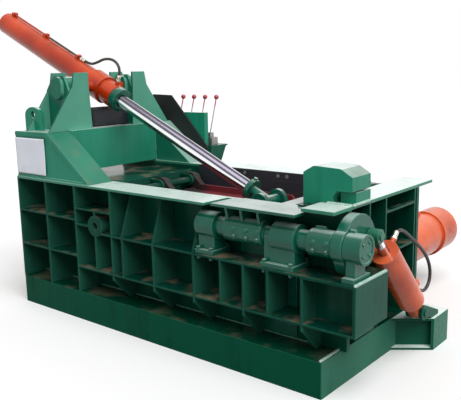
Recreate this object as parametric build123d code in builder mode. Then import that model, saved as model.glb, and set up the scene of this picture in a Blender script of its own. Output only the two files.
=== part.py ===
from build123d import *
import math
import os

# Hydraulic scrap baler with a hinged lid, two rams and a turn-out arm.
# Millimetres. The origin is under the middle of the base, +Z is up,
# the bale leaves over the front (-Y) and the main ram pushes towards +X.

# Base
base_length = 2600
base_width = 1240
base_height = 203
left = -base_length / 2
right = base_length / 2
front = -base_width / 2
rear = base_width / 2

# Running fits and gaps
pin_clearance = 0.05
slide_gap = 3
face_gap = 0.5
sweep_gap = 4

# Press box walls
wall = 30
rib_depth = 195
chamber_width = 795
liner = 12
floor_plate = 40
box_top = 940
flange = 15
rear_top = 968
wall_front = front + rib_depth
chamber_front = wall_front + wall
chamber_rear = chamber_front + chamber_width
rear_wall_back = chamber_rear + wall
floor_top = base_height + floor_plate

# Lengthways stations, from the left end of the base
deck_end = left + 800
lid_start = left + 885
lid_end = left + 1930
bay_start = left + 1938
bay_end = left + 2320
bay_wall_face = left + 2328
end_skin = left + 2358
end_face = left + 2636

# Rib work on the front side
plate = 12
left_ribs = [left, left + 324, left + 645]
shelf_upper_left = 714
shelf_lower_left = 460
section_rib = left + 1006
shelf_c = 389
shelf_d = 648
mid_ribs = [left + 1105, left + 1384, left + 1718, left + 1923, left + 2087, left + 2251]
gusset_ribs = [left + 1097, left + 1378, left + 1712]
gusset_foot = 3
gusset_head = 112
boss_x = left + 850
boss_z = 687
boss_radius = 72
boss_bore = 24

# Pedestal under the outer shaft bearing
pedestal_start = left + 2470
pedestal_end = left + 2790
pedestal_depth = 345
pedestal_plate = 16
pedestal_back = 125

# Tower bases and towers
tower_inset = 10
tower_width = 200
ledge_height = 1283
ledge_length = 375
tower_foot = 805
tower_skin = 16
tower_left = left + 104
tower_right = left + 359
tower_top = 1687
tower_kink = 1588
beam_low = 987
beam_depth = 55
lug_width = 190
lug_height = 168
lug_thickness = 30
lug_hole = 25
lug_hole_drop = 55
lug_y = front + 100

# Lid and its hinge
hinge_x = left + 880
hinge_z = 880
hinge_pin = 25
lid_top = 818
lid_thickness = 40
lid_side_gap = 4
lid_rib = 14
knuckle_radius = 55

# Lid cylinder
trunnion_x = left + 250
trunnion_z = 1580
trunnion_radius = 38
boss_wide = 116
boss_high = 160
boss_proud = 25
boss_cover = 8
ledge_round = 14
eye_x = left + 1824
eye_z = 861
lid_barrel_radius = 90
lid_barrel_bore = 74
lid_rod_radius = 35
barrel_behind = 1289
barrel_ahead = 258
eye_radius = 38
ear_radius = 68
ear_spacing = 190
ear_thickness = 30
collar_distance = 150
collar_radius = 74
collar_nut = 14

# Main ram and side ram
main_axis_z = 516
main_barrel_radius = 105
main_barrel_bore = 80
main_rod_radius = 52
main_barrel_out = 560
main_piston = 90
main_gland_start = left + 650
main_face = left + 872
platen_depth = 150
main_stroke = 1050
side_x = left + 2240
side_z = 416
side_barrel_radius = 168
side_barrel_bore = 125
side_rod_radius = 60
side_barrel_end = 2341
side_ring = 2060
side_ring_width = 28
side_dome = 36
side_stroke = 300
side_face = 860

# Turn-out shaft, arm and lever, on one axis along X
shaft_y = front + 90
shaft_z = 812
shaft_radius = 45
hub_radius = 72
bearing_radius = 78
bearing_1 = [left + 1733, left + 1868]
hub_a = [left + 1933, left + 2197]
bearing_2 = [left + 2263, left + 2416]
hub_b = [left + 2484, left + 2632]
bearing_3 = [left + 2703, left + 2800]
lever_start = left + 2640
lever_end = left + 2700
lever_centre_y = front + 205
lever_centre_z = 790
lever_radius = 170
scoop_reach = 757
tray_top = 959
tray_start = left + 1871
tray_end = left + 2436
finger_start = left + 2200
finger_end = left + 2290

# Turn-out cylinder
arm_pin_y = front + 300
arm_pin_z = 833
foot_pin_y = front + 845
foot_pin_z = 262
turn_x = left + 2735
turn_barrel_radius = 77
turn_barrel_bore = 60
turn_rod_radius = 28
turn_barrel_top = 152
turn_dome = 52
turn_eye_radius = 38
turn_eye_half = 31
foot_eye_radius = 40
foot_pin_radius = 22

# Outrigger foot at the right end
foot_start = front + 792
foot_nose = front + 942
foot_end = front + 1154
foot_height = 200
foot_overhang = 205
foot_plate = 14
foot_inset = 60

# Roof plate and lock head
roof_low = 970
roof_plate_thickness = 18
roof_start = left + 2442
roof_front = front + 50
lock_front = front + 240
lock_width = 194

low = (Align.MIN, Align.MIN)


def face_y(y):
    """An upright drawing plane that looks at the front, at this Y."""
    return Plane.XZ.offset(-y)


def face_x(x):
    """An upright drawing plane that looks at the right end, at this X."""
    return Plane.YZ.offset(x)


# Base: a closed box skid under everything
with BuildPart() as base_plinth:
    with BuildSketch():
        Rectangle(base_length, base_width)
    extrude(amount=base_height)
    chamfer(base_plinth.edges().filter_by(Axis.Z), length=4)

# Foot that carries the lower end of the turn-out cylinder, a beam open at both sides
foot_tip = right + foot_overhang
foot_slope = (foot_nose - foot_start) / foot_overhang
with BuildPart() as outrigger_foot:
    with BuildSketch():
        with BuildLine():
            Polyline(
                (right, foot_start),
                (foot_tip, foot_nose),
                (foot_tip, foot_end),
                (right, foot_end),
                close=True,
            )
        make_face()
    extrude(amount=foot_height)
    with BuildSketch(Plane.XY.offset(foot_plate)):
        with BuildLine():
            Polyline(
                (right, foot_start),
                (foot_tip - foot_plate, foot_nose - foot_slope * foot_plate),
                (foot_tip - foot_plate, foot_nose - foot_slope * foot_plate + foot_inset),
                (right, foot_start + foot_inset),
                close=True,
            )
        make_face()
        with Locations((right, foot_end - foot_inset / 2)):
            Rectangle(foot_overhang - foot_plate, foot_inset / 2, align=low)
    extrude(amount=foot_height - 2 * foot_plate, mode=Mode.SUBTRACT)

# Wear floor of the press box, cut back where the turn-out scoop swings
with BuildPart() as chamber_floor:
    with BuildSketch(Plane.XY.offset(base_height)):
        with Locations((left + wall, chamber_front)):
            Rectangle(bay_start - face_gap * 2 - left - wall, chamber_width, align=low)
    extrude(amount=floor_plate)
    with BuildSketch(Plane.XY.offset(base_height)):
        with Locations((bay_start, chamber_front)):
            Rectangle(bay_wall_face - bay_start, chamber_width, align=low)
    extrude(amount=floor_plate)
    with BuildSketch(face_x(bay_start)):
        with Locations((shaft_y, shaft_z)):
            Circle(scoop_reach + sweep_gap)
    extrude(amount=bay_wall_face - bay_start, mode=Mode.SUBTRACT)

# Front wall of the press box
with BuildPart() as front_wall:
    with BuildSketch(face_y(wall_front)):
        with Locations((left, base_height)):
            Rectangle(bay_start - face_gap * 2 - left, box_top - base_height, align=low)
    extrude(amount=-wall)

# Rear wall, with the hole for the side ram's rod
with BuildPart() as rear_wall:
    with BuildSketch(face_y(chamber_rear)):
        with Locations((left, base_height)):
            Rectangle(end_face - left, rear_top - base_height, align=low)
        with Locations((side_x, side_z)):
            Circle(side_rod_radius + slide_gap, mode=Mode.SUBTRACT)
    extrude(amount=-wall)

# Left end plate, with the hole for the main cylinder
with BuildPart() as left_end_plate:
    with BuildSketch(face_x(left)):
        with Locations((chamber_front, base_height)):
            Rectangle(chamber_width, box_top - base_height, align=low)
        with Locations((0, main_axis_z)):
            Circle(main_barrel_radius, mode=Mode.SUBTRACT)
    extrude(amount=wall)

# Fixed wall between the bale bay and the right end frame
with BuildPart() as bay_end_wall:
    with BuildSketch(face_x(bay_wall_face)):
        with Locations((chamber_front, base_height)):
            Rectangle(chamber_width, roof_low - base_height, align=low)
    extrude(amount=end_skin - bay_wall_face)
    with BuildSketch(face_y(wall_front)):
        with Locations((bay_wall_face, base_height)):
            Rectangle(end_face - bay_wall_face, roof_low - base_height, align=low)
    extrude(amount=-wall)

# Ribs and shelves of the right end, open to the outside
end_rib_y = [front + 422, front + 612, front + 988]
with BuildPart() as end_frame:
    for rib_y in end_rib_y:
        with BuildSketch(face_y(rib_y)):
            with BuildLine():
                Polyline(
                    (end_skin, base_height),
                    (right - 10, base_height),
                    (right - 10, shelf_c),
                    (end_face, shelf_c + 30),
                    (end_face, roof_low),
                    (end_skin, roof_low),
                    close=True,
                )
            make_face()
        extrude(amount=-plate)
    with BuildSketch(Plane.XY.offset(shelf_d - plate)):
        with Locations((end_skin, end_rib_y[0])):
            Rectangle(end_face - end_skin, end_rib_y[2] - end_rib_y[0], align=low)
    extrude(amount=plate)
    with BuildSketch(Plane.XY.offset(box_top - 60)):
        with Locations((end_face - 40, end_rib_y[1])):
            Rectangle(40, end_rib_y[2] - end_rib_y[1], align=low)
    extrude(amount=plate)

# Front ribs of the left section, with their two shelves
with BuildPart() as front_ribs_left:
    with BuildSketch(Plane.XY.offset(base_height)):
        for rib_x in left_ribs:
            with Locations((rib_x, front)):
                Rectangle(plate, rib_depth, align=low)
    extrude(amount=box_top - base_height)
    for shelf in (shelf_upper_left, shelf_lower_left):
        with BuildSketch(Plane.XY.offset(shelf - plate)):
            with Locations((left, front)):
                Rectangle(left_ribs[2] - left, rib_depth, align=low)
        extrude(amount=plate)

# Ribs and shelf of the boss section
boss_shelf = 796
with BuildPart() as front_ribs_boss:
    with BuildSketch(Plane.XY.offset(boss_shelf - plate)):
        with Locations((left_ribs[2] + plate, front)):
            Rectangle(section_rib - left_ribs[2] - plate, rib_depth, align=low)
    extrude(amount=plate)
    with BuildSketch(Plane.XY.offset(shelf_c)):
        with Locations((section_rib, front)):
            Rectangle(plate, rib_depth, align=low)
    extrude(amount=box_top - shelf_c)

    with BuildSketch(Plane.XY.offset(shelf_c)):
        with Locations((boss_x - plate / 2, front)):
            Rectangle(plate, rib_depth, align=low)
    extrude(amount=boss_shelf - plate - shelf_c)
    with BuildSketch(Plane.XY.offset(boss_z - plate)):
        with Locations((left_ribs[2] + plate, front)):
            Rectangle(boss_x - left_ribs[2] - plate, rib_depth, align=low)
    extrude(amount=plate)
    with BuildSketch(Plane.XY.offset(shelf_d - plate)):
        with Locations((boss_x, front)):
            Rectangle(section_rib - boss_x, rib_depth, align=low)
    extrude(amount=plate)
    with BuildSketch(face_y(wall_front)):
        with Locations((boss_x, boss_z)):
            Circle(boss_radius)
    extrude(amount=rib_depth, mode=Mode.SUBTRACT)

# Round boss on the boss section
with BuildPart() as side_boss:
    with BuildSketch(face_y(wall_front)):
        with Locations((boss_x, boss_z)):
            Circle(boss_radius)
    extrude(amount=rib_depth)
    with BuildSketch(face_y(front)):
        with Locations((boss_x, boss_z)):
            Circle(boss_bore)
    extrude(amount=-rib_depth / 3, mode=Mode.SUBTRACT)
    chamfer(side_boss.faces().sort_by(Axis.Y)[0].edges(), length=4)

# The two long shelves: the upper one carries the shaft bearings
with BuildPart() as long_shelves:
    with BuildSketch(Plane.XY.offset(shelf_c - plate)):
        with Locations((left_ribs[2] + plate, front)):
            Rectangle(pedestal_end - left_ribs[2] - plate, rib_depth, align=low)
    extrude(amount=plate)
    with BuildSketch(Plane.XY.offset(shelf_d - plate)):
        with Locations((section_rib + plate, front)):
            Rectangle(pedestal_start - section_rib - plate, rib_depth, align=low)
    extrude(amount=plate)

# Brackets under the lower shelf
with BuildPart() as shelf_brackets:
    for rib_x in [section_rib, left + 1384, left + 1718, left + 2087, left + 2470]:
        with BuildSketch(face_x(rib_x)):
            with BuildLine():
                Polyline(
                    (wall_front, base_height),
                    (wall_front, shelf_c - plate),
                    (front, shelf_c - plate),
                    (front, shelf_c - plate - 30),
                    (wall_front - 60, base_height),
                    close=True,
                )
            make_face()
        extrude(amount=plate)

# Short ribs between the two long shelves
with BuildPart() as middle_ribs:
    with BuildSketch(Plane.XY.offset(shelf_c)):
        for rib_x in mid_ribs:
            with Locations((rib_x, front)):
                Rectangle(plate, rib_depth, align=low)
    extrude(amount=shelf_d - plate - shelf_c)

# Pedestal at the right end of the shelves, a cell that is open to the front
with BuildPart() as pedestal:
    with BuildSketch(Plane.XY.offset(shelf_c)):
        with Locations((pedestal_start, front)):
            Rectangle(end_face - pedestal_start, rib_depth, align=low)
        with Locations((end_face, front)):
            Rectangle(pedestal_end - end_face, pedestal_depth, align=low)
    extrude(amount=shelf_d - shelf_c)
    chamfer(pedestal.edges().filter_by(Axis.Z).sort_by(Axis.X)[-2:], length=3)
    with BuildSketch(face_y(front)):
        with Locations((pedestal_start + plate, shelf_c)):
            Rectangle(
                pedestal_end - pedestal_plate - pedestal_start - plate,
                shelf_d - pedestal_plate - shelf_c,
                align=low,
            )
    extrude(amount=-pedestal_back, mode=Mode.SUBTRACT)

# Tapered gussets over the upper shelf
with BuildPart() as tapered_gussets:
    for rib_x in gusset_ribs:
        with BuildSketch(face_x(rib_x)):
            with BuildLine():
                Polyline(
                    (front + gusset_foot, shelf_d),
                    (wall_front, shelf_d),
                    (wall_front, box_top),
                    (front + gusset_head, box_top),
                    close=True,
                )
            make_face()
        extrude(amount=plate)

# Flange plate along the top of the front side
with BuildPart() as front_flange:
    with BuildSketch(Plane.XY.offset(box_top)):
        with BuildLine():
            Polyline(
                (left, front),
                (left + 1820, front),
                (left + 1835, wall_front),
                (bay_start - face_gap * 2, wall_front),
                (bay_start - face_gap * 2, chamber_front),
                (left, chamber_front),
                close=True,
            )
        make_face()
    extrude(amount=flange)

# Flange plate and ribs of the rear side
rear_flange_end = left + 1990
with BuildPart() as rear_flange:
    with BuildSketch(Plane.XY.offset(rear_top)):
        with Locations((left, chamber_rear)):
            Rectangle(rear_flange_end - left, rear - chamber_rear, align=low)
    extrude(amount=flange)

rear_rib_pitch = 330
rear_rib_x = [left + n * rear_rib_pitch for n in range(6)] + [rear_flange_end - plate]
with BuildPart() as rear_ribs:
    with BuildSketch(Plane.XY.offset(base_height)):
        for rib_x in rear_rib_x:
            with Locations((rib_x, rear_wall_back)):
                Rectangle(plate, rear - rear_wall_back, align=low)
    extrude(amount=rear_top - base_height)
    with BuildSketch(Plane.XY.offset(shelf_d - plate)):
        with Locations((left, rear_wall_back)):
            Rectangle(rear_flange_end - left, rear - rear_wall_back, align=low)
    extrude(amount=plate)

# Deck over the main cylinder, under the towers
with BuildPart() as deck_plate:
    with BuildSketch(Plane.XY.offset(box_top - flange)):
        with Locations((left + wall, chamber_front)):
            Rectangle(deck_end - left - wall, chamber_width, align=low)
    extrude(amount=flange)
    with BuildSketch(Plane.XY.offset(lid_top - lid_thickness)):
        with Locations((deck_end - wall, chamber_front)):
            Rectangle(wall, chamber_width, align=low)
    extrude(amount=box_top - flange - lid_top + lid_thickness)

# Dark wear plates inside the box, and their bolts
with BuildPart() as liner_plates:
    with BuildSketch(face_y(chamber_rear - liner)):
        with Locations((lid_start, floor_top)):
            Rectangle(bay_wall_face - lid_start, rear_top + flange - floor_top, align=low)
        with Locations((side_x, side_z)):
            Circle(side_rod_radius + slide_gap, mode=Mode.SUBTRACT)
    extrude(amount=-liner)
    with BuildSketch(face_y(chamber_front)):
        with Locations((lid_start, floor_top)):
            Rectangle(bay_start - face_gap * 2 - lid_start, box_top - floor_top, align=low)
    extrude(amount=-liner)

liner_bolt = 13
liner_bolt_proud = lid_side_gap - 1
with BuildPart() as liner_bolts:
    with BuildSketch(face_y(chamber_rear - liner)):
        for bolt_x in [left + 1060, left + 1326, left + 1620, left + 1694, left + 1960, left + 2230]:
            with Locations((bolt_x, rear_top - liner_bolt)):
                Circle(liner_bolt)
    extrude(amount=liner_bolt_proud)

# Tower bases: the sloping blocks at both sides of the left end
with BuildPart() as tower_base_front:
    with BuildSketch(face_y(front + tower_inset)):
        with BuildLine():
            Polyline(
                (left, box_top + flange),
                (left + tower_foot, box_top + flange),
                (left + ledge_length, ledge_height),
                (left, ledge_height),
                close=True,
            )
        make_face()
    extrude(amount=-tower_width)
    with BuildSketch(face_y(front + tower_inset)):
        with BuildLine():
            Polyline(
                (left, ledge_height - 33),
                (left + ledge_length - 10, ledge_height - 33),
                (left + tower_foot - 60, box_top + flange + 14),
                (left, box_top + flange + 14),
                close=True,
            )
        make_face()
    extrude(amount=-4, mode=Mode.SUBTRACT)
    fillet(tower_base_front.edges().filter_by(Axis.Y).group_by(Axis.Z)[-1].sort_by(Axis.X)[0], radius=ledge_round)

with BuildPart() as tower_base_rear:
    with BuildSketch(face_y(rear - tower_inset)):
        with BuildLine():
            Polyline(
                (left, rear_top + flange),
                (left + tower_foot - 37, rear_top + flange),
                (left + ledge_length, ledge_height),
                (left, ledge_height),
                close=True,
            )
        make_face()
    extrude(amount=tower_width)
    with BuildSketch(face_y(rear - tower_inset)):
        with BuildLine():
            Polyline(
                (left + 175, rear_top + flange),
                (left + 750, rear_top + flange),
                (left + 790, 1075),
                (left + 703, 1169),
                (left + 397, 1491),
                (left + 185, 1497),
                close=True,
            )
        make_face()
    extrude(amount=-tower_inset)

# Cross beam between the towers
with BuildPart() as crossbeam:
    with BuildSketch(face_x(left + ledge_length - beam_depth)):
        with Locations((front + tower_inset + tower_width, beam_low)):
            Rectangle(base_width - 2 * tower_inset - 2 * tower_width, ledge_height - beam_low, align=low)
    extrude(amount=beam_depth + 25)

# Front tower: two gusset plates, two cheek plates and the trunnion bearing
tower_outer = front + 40
tower_inner = front + 420
tower_top_outer = front + 280
tower_top_inner = front + 405
cheek_outer = front + 235
cheek_inner = front + 385
with BuildPart() as front_tower:
    for plate_x in (tower_left, tower_right):
        with BuildSketch(face_x(plate_x)):
            with BuildLine():
                Polyline(
                    (tower_outer, ledge_height),
                    (tower_inner, ledge_height),
                    (tower_top_inner, tower_kink),
                    (tower_top_inner, tower_top),
                    (tower_top_outer, tower_top),
                    (tower_top_outer - 20, tower_kink),
                    close=True,
                )
            make_face()
        extrude(amount=tower_skin)
    for cheek_y in (cheek_outer, cheek_inner):
        with BuildSketch(face_y(cheek_y)):
            with BuildLine():
                Polyline(
                    (tower_left, ledge_height),
                    (tower_right, ledge_height),
                    (tower_right, tower_kink - 25),
                    (trunnion_x + 60, tower_top - 20),
                    (trunnion_x - 60, tower_top - 20),
                    (tower_left, tower_kink - 25),
                    close=True,
                )
            make_face()
        extrude(amount=-tower_skin)
    with BuildSketch(face_y(cheek_outer - boss_proud)):
        with Locations((trunnion_x, trunnion_z)):
            SlotOverall(boss_high, boss_wide, rotation=90)
    extrude(amount=-(cheek_inner + tower_skin + 2 * boss_proud - cheek_outer))
    with BuildSketch(face_y(cheek_outer - boss_proud + boss_cover)):
        with Locations((trunnion_x, trunnion_z)):
            Circle(trunnion_radius + pin_clearance)
    extrude(amount=-(cheek_inner + tower_skin + 2 * boss_proud - cheek_outer), mode=Mode.SUBTRACT)
    housing_face = front_tower.faces().filter_by(Axis.Y).sort_by(lambda f: abs(f.center().Y - cheek_outer + boss_proud))[0]
    chamfer(housing_face.outer_wire().edges(), length=boss_cover / 2)

    with BuildSketch(face_y(lug_y)):
        with Locations((left + 10, ledge_height)):
            Rectangle(lug_width, lug_height, align=low)
    extrude(amount=-lug_thickness, mode=Mode.SUBTRACT)

# Rear tower: the same, handed
rear_tower_solid = mirror(front_tower.part, about=Plane.XZ)
with BuildPart() as rear_tower:
    add(rear_tower_solid)

# Lifting lugs on the two ledges, with round heads
with BuildPart() as lifting_lugs:
    with BuildSketch(face_y(lug_y)):
        with Locations((left + 10 + lug_width / 2, ledge_height)):
            Rectangle(lug_width, lug_height - lug_width / 3, align=(Align.CENTER, Align.MIN))
        with Locations((left + 10 + lug_width / 2, ledge_height + lug_height - lug_width / 3)):
            Ellipse(lug_width / 2, lug_width / 3)
        with Locations((left + 10 + lug_width / 2, ledge_height + lug_height - lug_hole_drop)):
            Circle(lug_hole, mode=Mode.SUBTRACT)
    extrude(amount=-lug_thickness)
    mirror(about=Plane.XZ)

# Roof plate of the right end
with BuildPart() as roof_plate:
    with BuildSketch(Plane.XY.offset(roof_low)):
        with Locations((roof_start, roof_front)):
            Rectangle(end_face - roof_start, rear - roof_front, align=low)
    extrude(amount=roof_plate_thickness)

# Lock head: a thick hooked block that hangs over the roof plate's edge
roof_top = roof_low + roof_plate_thickness
with BuildPart() as lock_head:
    with BuildSketch(face_y(lock_front)):
        with BuildLine():
            Polyline(
                (left + 2332, roof_low),
                (left + 2332, 1142),
                (left + 2396, 1180),
                (left + 2561, 1174),
                (left + 2631, 1133),
                (left + 2632, 1058),
                (left + 2538, 1056),
                (left + 2513, 1020),
                (left + 2513, roof_top),
                (roof_start, roof_top),
                (roof_start, roof_low),
                close=True,
            )
        make_face()
    extrude(amount=-lock_width)
    chamfer(lock_head.edges().filter_by(Axis.Y).sort_by(Axis.Z)[-2:], length=6)

    with BuildSketch(face_y(lock_front + 40)):
        with Locations((left + 2540, roof_top)):
            Rectangle(92, 1049 - roof_top, align=low)
    extrude(amount=-lock_width + 40)

# Main cylinder through the left end plate
main_barrel_end = main_gland_start + 50
main_bottom = left - main_barrel_out
main_cap = 50
flange_bolt = 14
oil_port = 20
with BuildPart() as main_cylinder:
    with BuildSketch(face_x(main_bottom)):
        with Locations((0, main_axis_z)):
            Circle(main_barrel_radius)
    extrude(amount=main_barrel_end - main_bottom)
    with BuildSketch(face_x(left - 30)):
        with Locations((0, main_axis_z)):
            Circle(main_barrel_radius + 45)
    extrude(amount=30)
    with BuildSketch(face_x(main_bottom + main_cap)):
        with Locations((0, main_axis_z)):
            Circle(main_barrel_bore)
    extrude(amount=main_gland_start - main_bottom - main_cap, mode=Mode.SUBTRACT)
    with BuildSketch(face_x(main_gland_start)):
        with Locations((0, main_axis_z)):
            Circle(main_rod_radius + pin_clearance)
    extrude(amount=main_barrel_end - main_gland_start, mode=Mode.SUBTRACT)
    chamfer(main_cylinder.faces().sort_by(Axis.X)[0].edges(), length=12)
    with BuildSketch(face_x(left - 30)):
        with Locations((0, main_axis_z)):
            with PolarLocations(main_barrel_radius + 24, 8, start_angle=22.5):
                RegularPolygon(flange_bolt, 6)
    extrude(amount=-flange_bolt)
    for port_x in (main_bottom + 90, left - 110):
        with BuildSketch(Plane.XY.offset(main_axis_z + main_barrel_radius - 12)):
            with Locations((port_x, 0)):
                Circle(oil_port)
        extrude(amount=45)

# Main ram: piston, rod and thick platen
ram_low = floor_top + slide_gap
ram_high = lid_top - lid_thickness - 5
ram_side = chamber_width / 2 - liner - slide_gap
piston_start = main_bottom + main_cap + 10
with BuildPart() as main_ram:
    with BuildSketch(face_x(main_face - platen_depth)):
        with Locations(((chamber_front + chamber_rear) / 2, (ram_low + ram_high) / 2)):
            Rectangle(2 * ram_side, ram_high - ram_low)
    extrude(amount=platen_depth)
    with BuildSketch(face_x(piston_start)):
        with Locations((0, main_axis_z)):
            Circle(main_rod_radius)
    extrude(amount=main_face - platen_depth - piston_start)
    with BuildSketch(face_x(piston_start)):
        with Locations((0, main_axis_z)):
            Circle(main_barrel_bore - pin_clearance)
    extrude(amount=main_piston)

# Side cylinder behind the bale bay
with BuildPart() as side_cylinder:
    with BuildSketch(face_y(rear_wall_back)):
        with Locations((side_x, side_z)):
            Circle(side_barrel_radius + 45)
    extrude(amount=-45)
    with BuildSketch(face_y(rear_wall_back)):
        with Locations((side_x, side_z)):
            Circle(side_barrel_radius - 8)
    extrude(amount=-(front + side_barrel_end - rear_wall_back))
    with BuildSketch(face_y(front + side_ring)):
        with Locations((side_x, side_z)):
            Circle(side_barrel_radius + 6)
    extrude(amount=-side_ring_width)
    with BuildSketch(face_y(front + side_ring + side_ring_width)):
        with Locations((side_x, side_z)):
            Circle(side_barrel_radius)
    extrude(amount=-(side_barrel_end - side_ring - side_ring_width))
    with BuildSketch(face_y(rear_wall_back + 90)):
        with Locations((side_x, side_z)):
            Circle(side_barrel_bore)
    extrude(amount=-(front + side_barrel_end - rear_wall_back - 150), mode=Mode.SUBTRACT)
    with BuildSketch(face_y(rear_wall_back)):
        with Locations((side_x, side_z)):
            Circle(side_rod_radius + pin_clearance)
    extrude(amount=-90, mode=Mode.SUBTRACT)
    fillet(side_cylinder.faces().sort_by(Axis.Y)[-1].edges(), radius=side_dome)
    with BuildSketch(face_y(rear_wall_back + 45)):
        with Locations((side_x, side_z)):
            with PolarLocations(side_barrel_radius + 22, 12):
                RegularPolygon(flange_bolt, 6)
    extrude(amount=-flange_bolt)
    for port_y in (rear_wall_back + 150, front + side_ring - 120):
        with BuildSketch(Plane.XY.offset(side_z + side_barrel_radius - 24)):
            with Locations((side_x, port_y)):
                Circle(oil_port)
        extrude(amount=50)

# Side ram: rod and thick platen, painted red oxide
side_platen_top = lid_top - 3
with BuildPart() as side_ram:
    with BuildSketch(face_y(front + side_face)):
        with Locations((bay_start + face_gap * 2, floor_top + slide_gap)):
            Rectangle(bay_end - bay_start, side_platen_top - floor_top - slide_gap, align=low)
    extrude(amount=-(chamber_rear - liner - 2 - front - side_face))
    with BuildSketch(face_y(chamber_rear - liner - 2)):
        with Locations((side_x, side_z)):
            Circle(side_rod_radius)
    extrude(amount=-(side_stroke + 160 + wall))
    with BuildSketch(face_y(rear_wall_back + 90 + side_stroke + 10)):
        with Locations((side_x, side_z)):
            Circle(side_barrel_bore - pin_clearance)
    extrude(amount=-80)

# Bearings of the turn-out shaft, bolted to the upper shelf and the pedestal
bearing_spans = [bearing_1, bearing_2, bearing_3]
base_spans = [
    [left + 1733, left + 1868],
    [left + 2205, left + 2416],
    [left + 2703, left + 2772],
]
bearing_foot_front = front + 12
bearing_foot_depth = 168
foot_pad = 26
hub_bolt = 12
hub_bar = 13
hub_bar_length = 58
cap_rim = 14
cap_recess = 5
with BuildPart() as shaft_bearings:
    for span, foot in zip(bearing_spans, base_spans):
        with BuildSketch(face_x(span[0])):
            with Locations((shaft_y, shaft_z)):
                Circle(bearing_radius)
        extrude(amount=span[1] - span[0])
        with BuildSketch(face_x(foot[0] + 8)):
            with Locations((shaft_y, shelf_d)):
                Rectangle(100, shaft_z - shelf_d, align=(Align.CENTER, Align.MIN))
        extrude(amount=foot[1] - foot[0] - 16)
        with BuildSketch(Plane.XY.offset(shelf_d)):
            with Locations((foot[0], bearing_foot_front)):
                Rectangle(foot[1] - foot[0], bearing_foot_depth, align=low)
        extrude(amount=foot_pad)
    with BuildSketch(face_x(left + 1700)):
        with Locations((shaft_y, shaft_z)):
            Circle(shaft_radius + pin_clearance)
    extrude(amount=bearing_3[1] - left - 1700 - 14, mode=Mode.SUBTRACT)
    with BuildSketch(face_x(bearing_3[1])):
        with Locations((shaft_y, shaft_z)):
            Circle(bearing_radius - cap_rim)
    extrude(amount=-cap_recess, mode=Mode.SUBTRACT)
    with BuildSketch(face_x(bearing_3[1] - cap_recess)):
        with Locations((shaft_y, shaft_z)):
            with PolarLocations(shaft_radius, 4, start_angle=45):
                RegularPolygon(hub_bolt - 4, 6)
    extrude(amount=cap_recess + 2)
    with BuildSketch(face_x(bearing_3[0] + 4)):
        with Locations((shaft_y + 5, shaft_z + bearing_radius + 2)):
            Circle(hub_bar)
    extrude(amount=hub_bar_length / 2)

# Bearing bolts: heads on the pads, nuts under the shelf
bolt_radius = 14
bolt_rows = [bearing_foot_front + 12, bearing_foot_front + bearing_foot_depth - 12]
bolt_columns = [left + 1733 + 20, left + 1868 - 20, left + 2205 + 20, left + 2416 - 20]
with BuildPart() as bearing_bolts:
    with BuildSketch(Plane.XY.offset(shelf_d + foot_pad)):
        for bolt_x in bolt_columns:
            for bolt_y in bolt_rows:
                with Locations((bolt_x, bolt_y)):
                    RegularPolygon(bolt_radius, 6)
    extrude(amount=16)
    with BuildSketch(Plane.XY.offset(shelf_d - plate)):
        for bolt_x in bolt_columns:
            for bolt_y in bolt_rows:
                with Locations((bolt_x, bolt_y)):
                    RegularPolygon(bolt_radius, 6)
    extrude(amount=-18)

# Turn-out shaft with its hubs, their clamp bolts and a welded bar on top
hub_bolt_proud = 9
hub_bolt_turns = [-22, 14]
hub_bolt_x = [hub_a[0] + 88, hub_a[0] + 172, hub_a[1] - 16, hub_b[0] + 48, hub_b[1] - 22]
with BuildPart() as turnout_shaft:
    with BuildSketch(face_x(bearing_1[0] + 6)):
        with Locations((shaft_y, shaft_z)):
            Circle(shaft_radius)
    extrude(amount=bearing_3[1] - bearing_1[0] - 26)
    with BuildSketch(face_x(hub_a[0])):
        with Locations((shaft_y, shaft_z)):
            Circle(hub_radius)
    extrude(amount=hub_a[1] - hub_a[0])
    with BuildSketch(face_x(hub_b[0])):
        with Locations((shaft_y, shaft_z)):
            Circle(hub_radius)
    extrude(amount=hub_b[1] - hub_b[0])
    with BuildSketch(face_x(bearing_1[1] + 2)):
        with Locations((shaft_y, shaft_z)):
            Circle(shaft_radius + 12)
    extrude(amount=hub_a[0] - bearing_1[1] - 2)
    with BuildSketch(face_x(bearing_2[1] + 2)):
        with Locations((shaft_y, shaft_z)):
            Circle(shaft_radius + 10)
    extrude(amount=hub_b[0] - bearing_2[1] - 2)
    chamfer(turnout_shaft.edges().filter_by(GeomType.CIRCLE).filter_by(lambda e: e.radius > hub_radius - 1), length=5)
    for bolt_x in hub_bolt_x:
        for bolt_turn in hub_bolt_turns:
            hub_bolt_plane = Plane(
                origin=(bolt_x, shaft_y, shaft_z),
                x_dir=(1, 0, 0),
                z_dir=(0, -math.cos(math.radians(bolt_turn)), math.sin(math.radians(bolt_turn))),
            )
            with BuildSketch(hub_bolt_plane.offset(hub_radius - hub_bolt)):
                RegularPolygon(hub_bolt, 6)
            extrude(amount=hub_bolt + hub_bolt_proud)
    with BuildSketch(face_x(hub_b[0] + 24)):
        with Locations((shaft_y + 5, shaft_z + hub_radius + 2)):
            Circle(hub_bar)
    extrude(amount=hub_bar_length)

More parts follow.
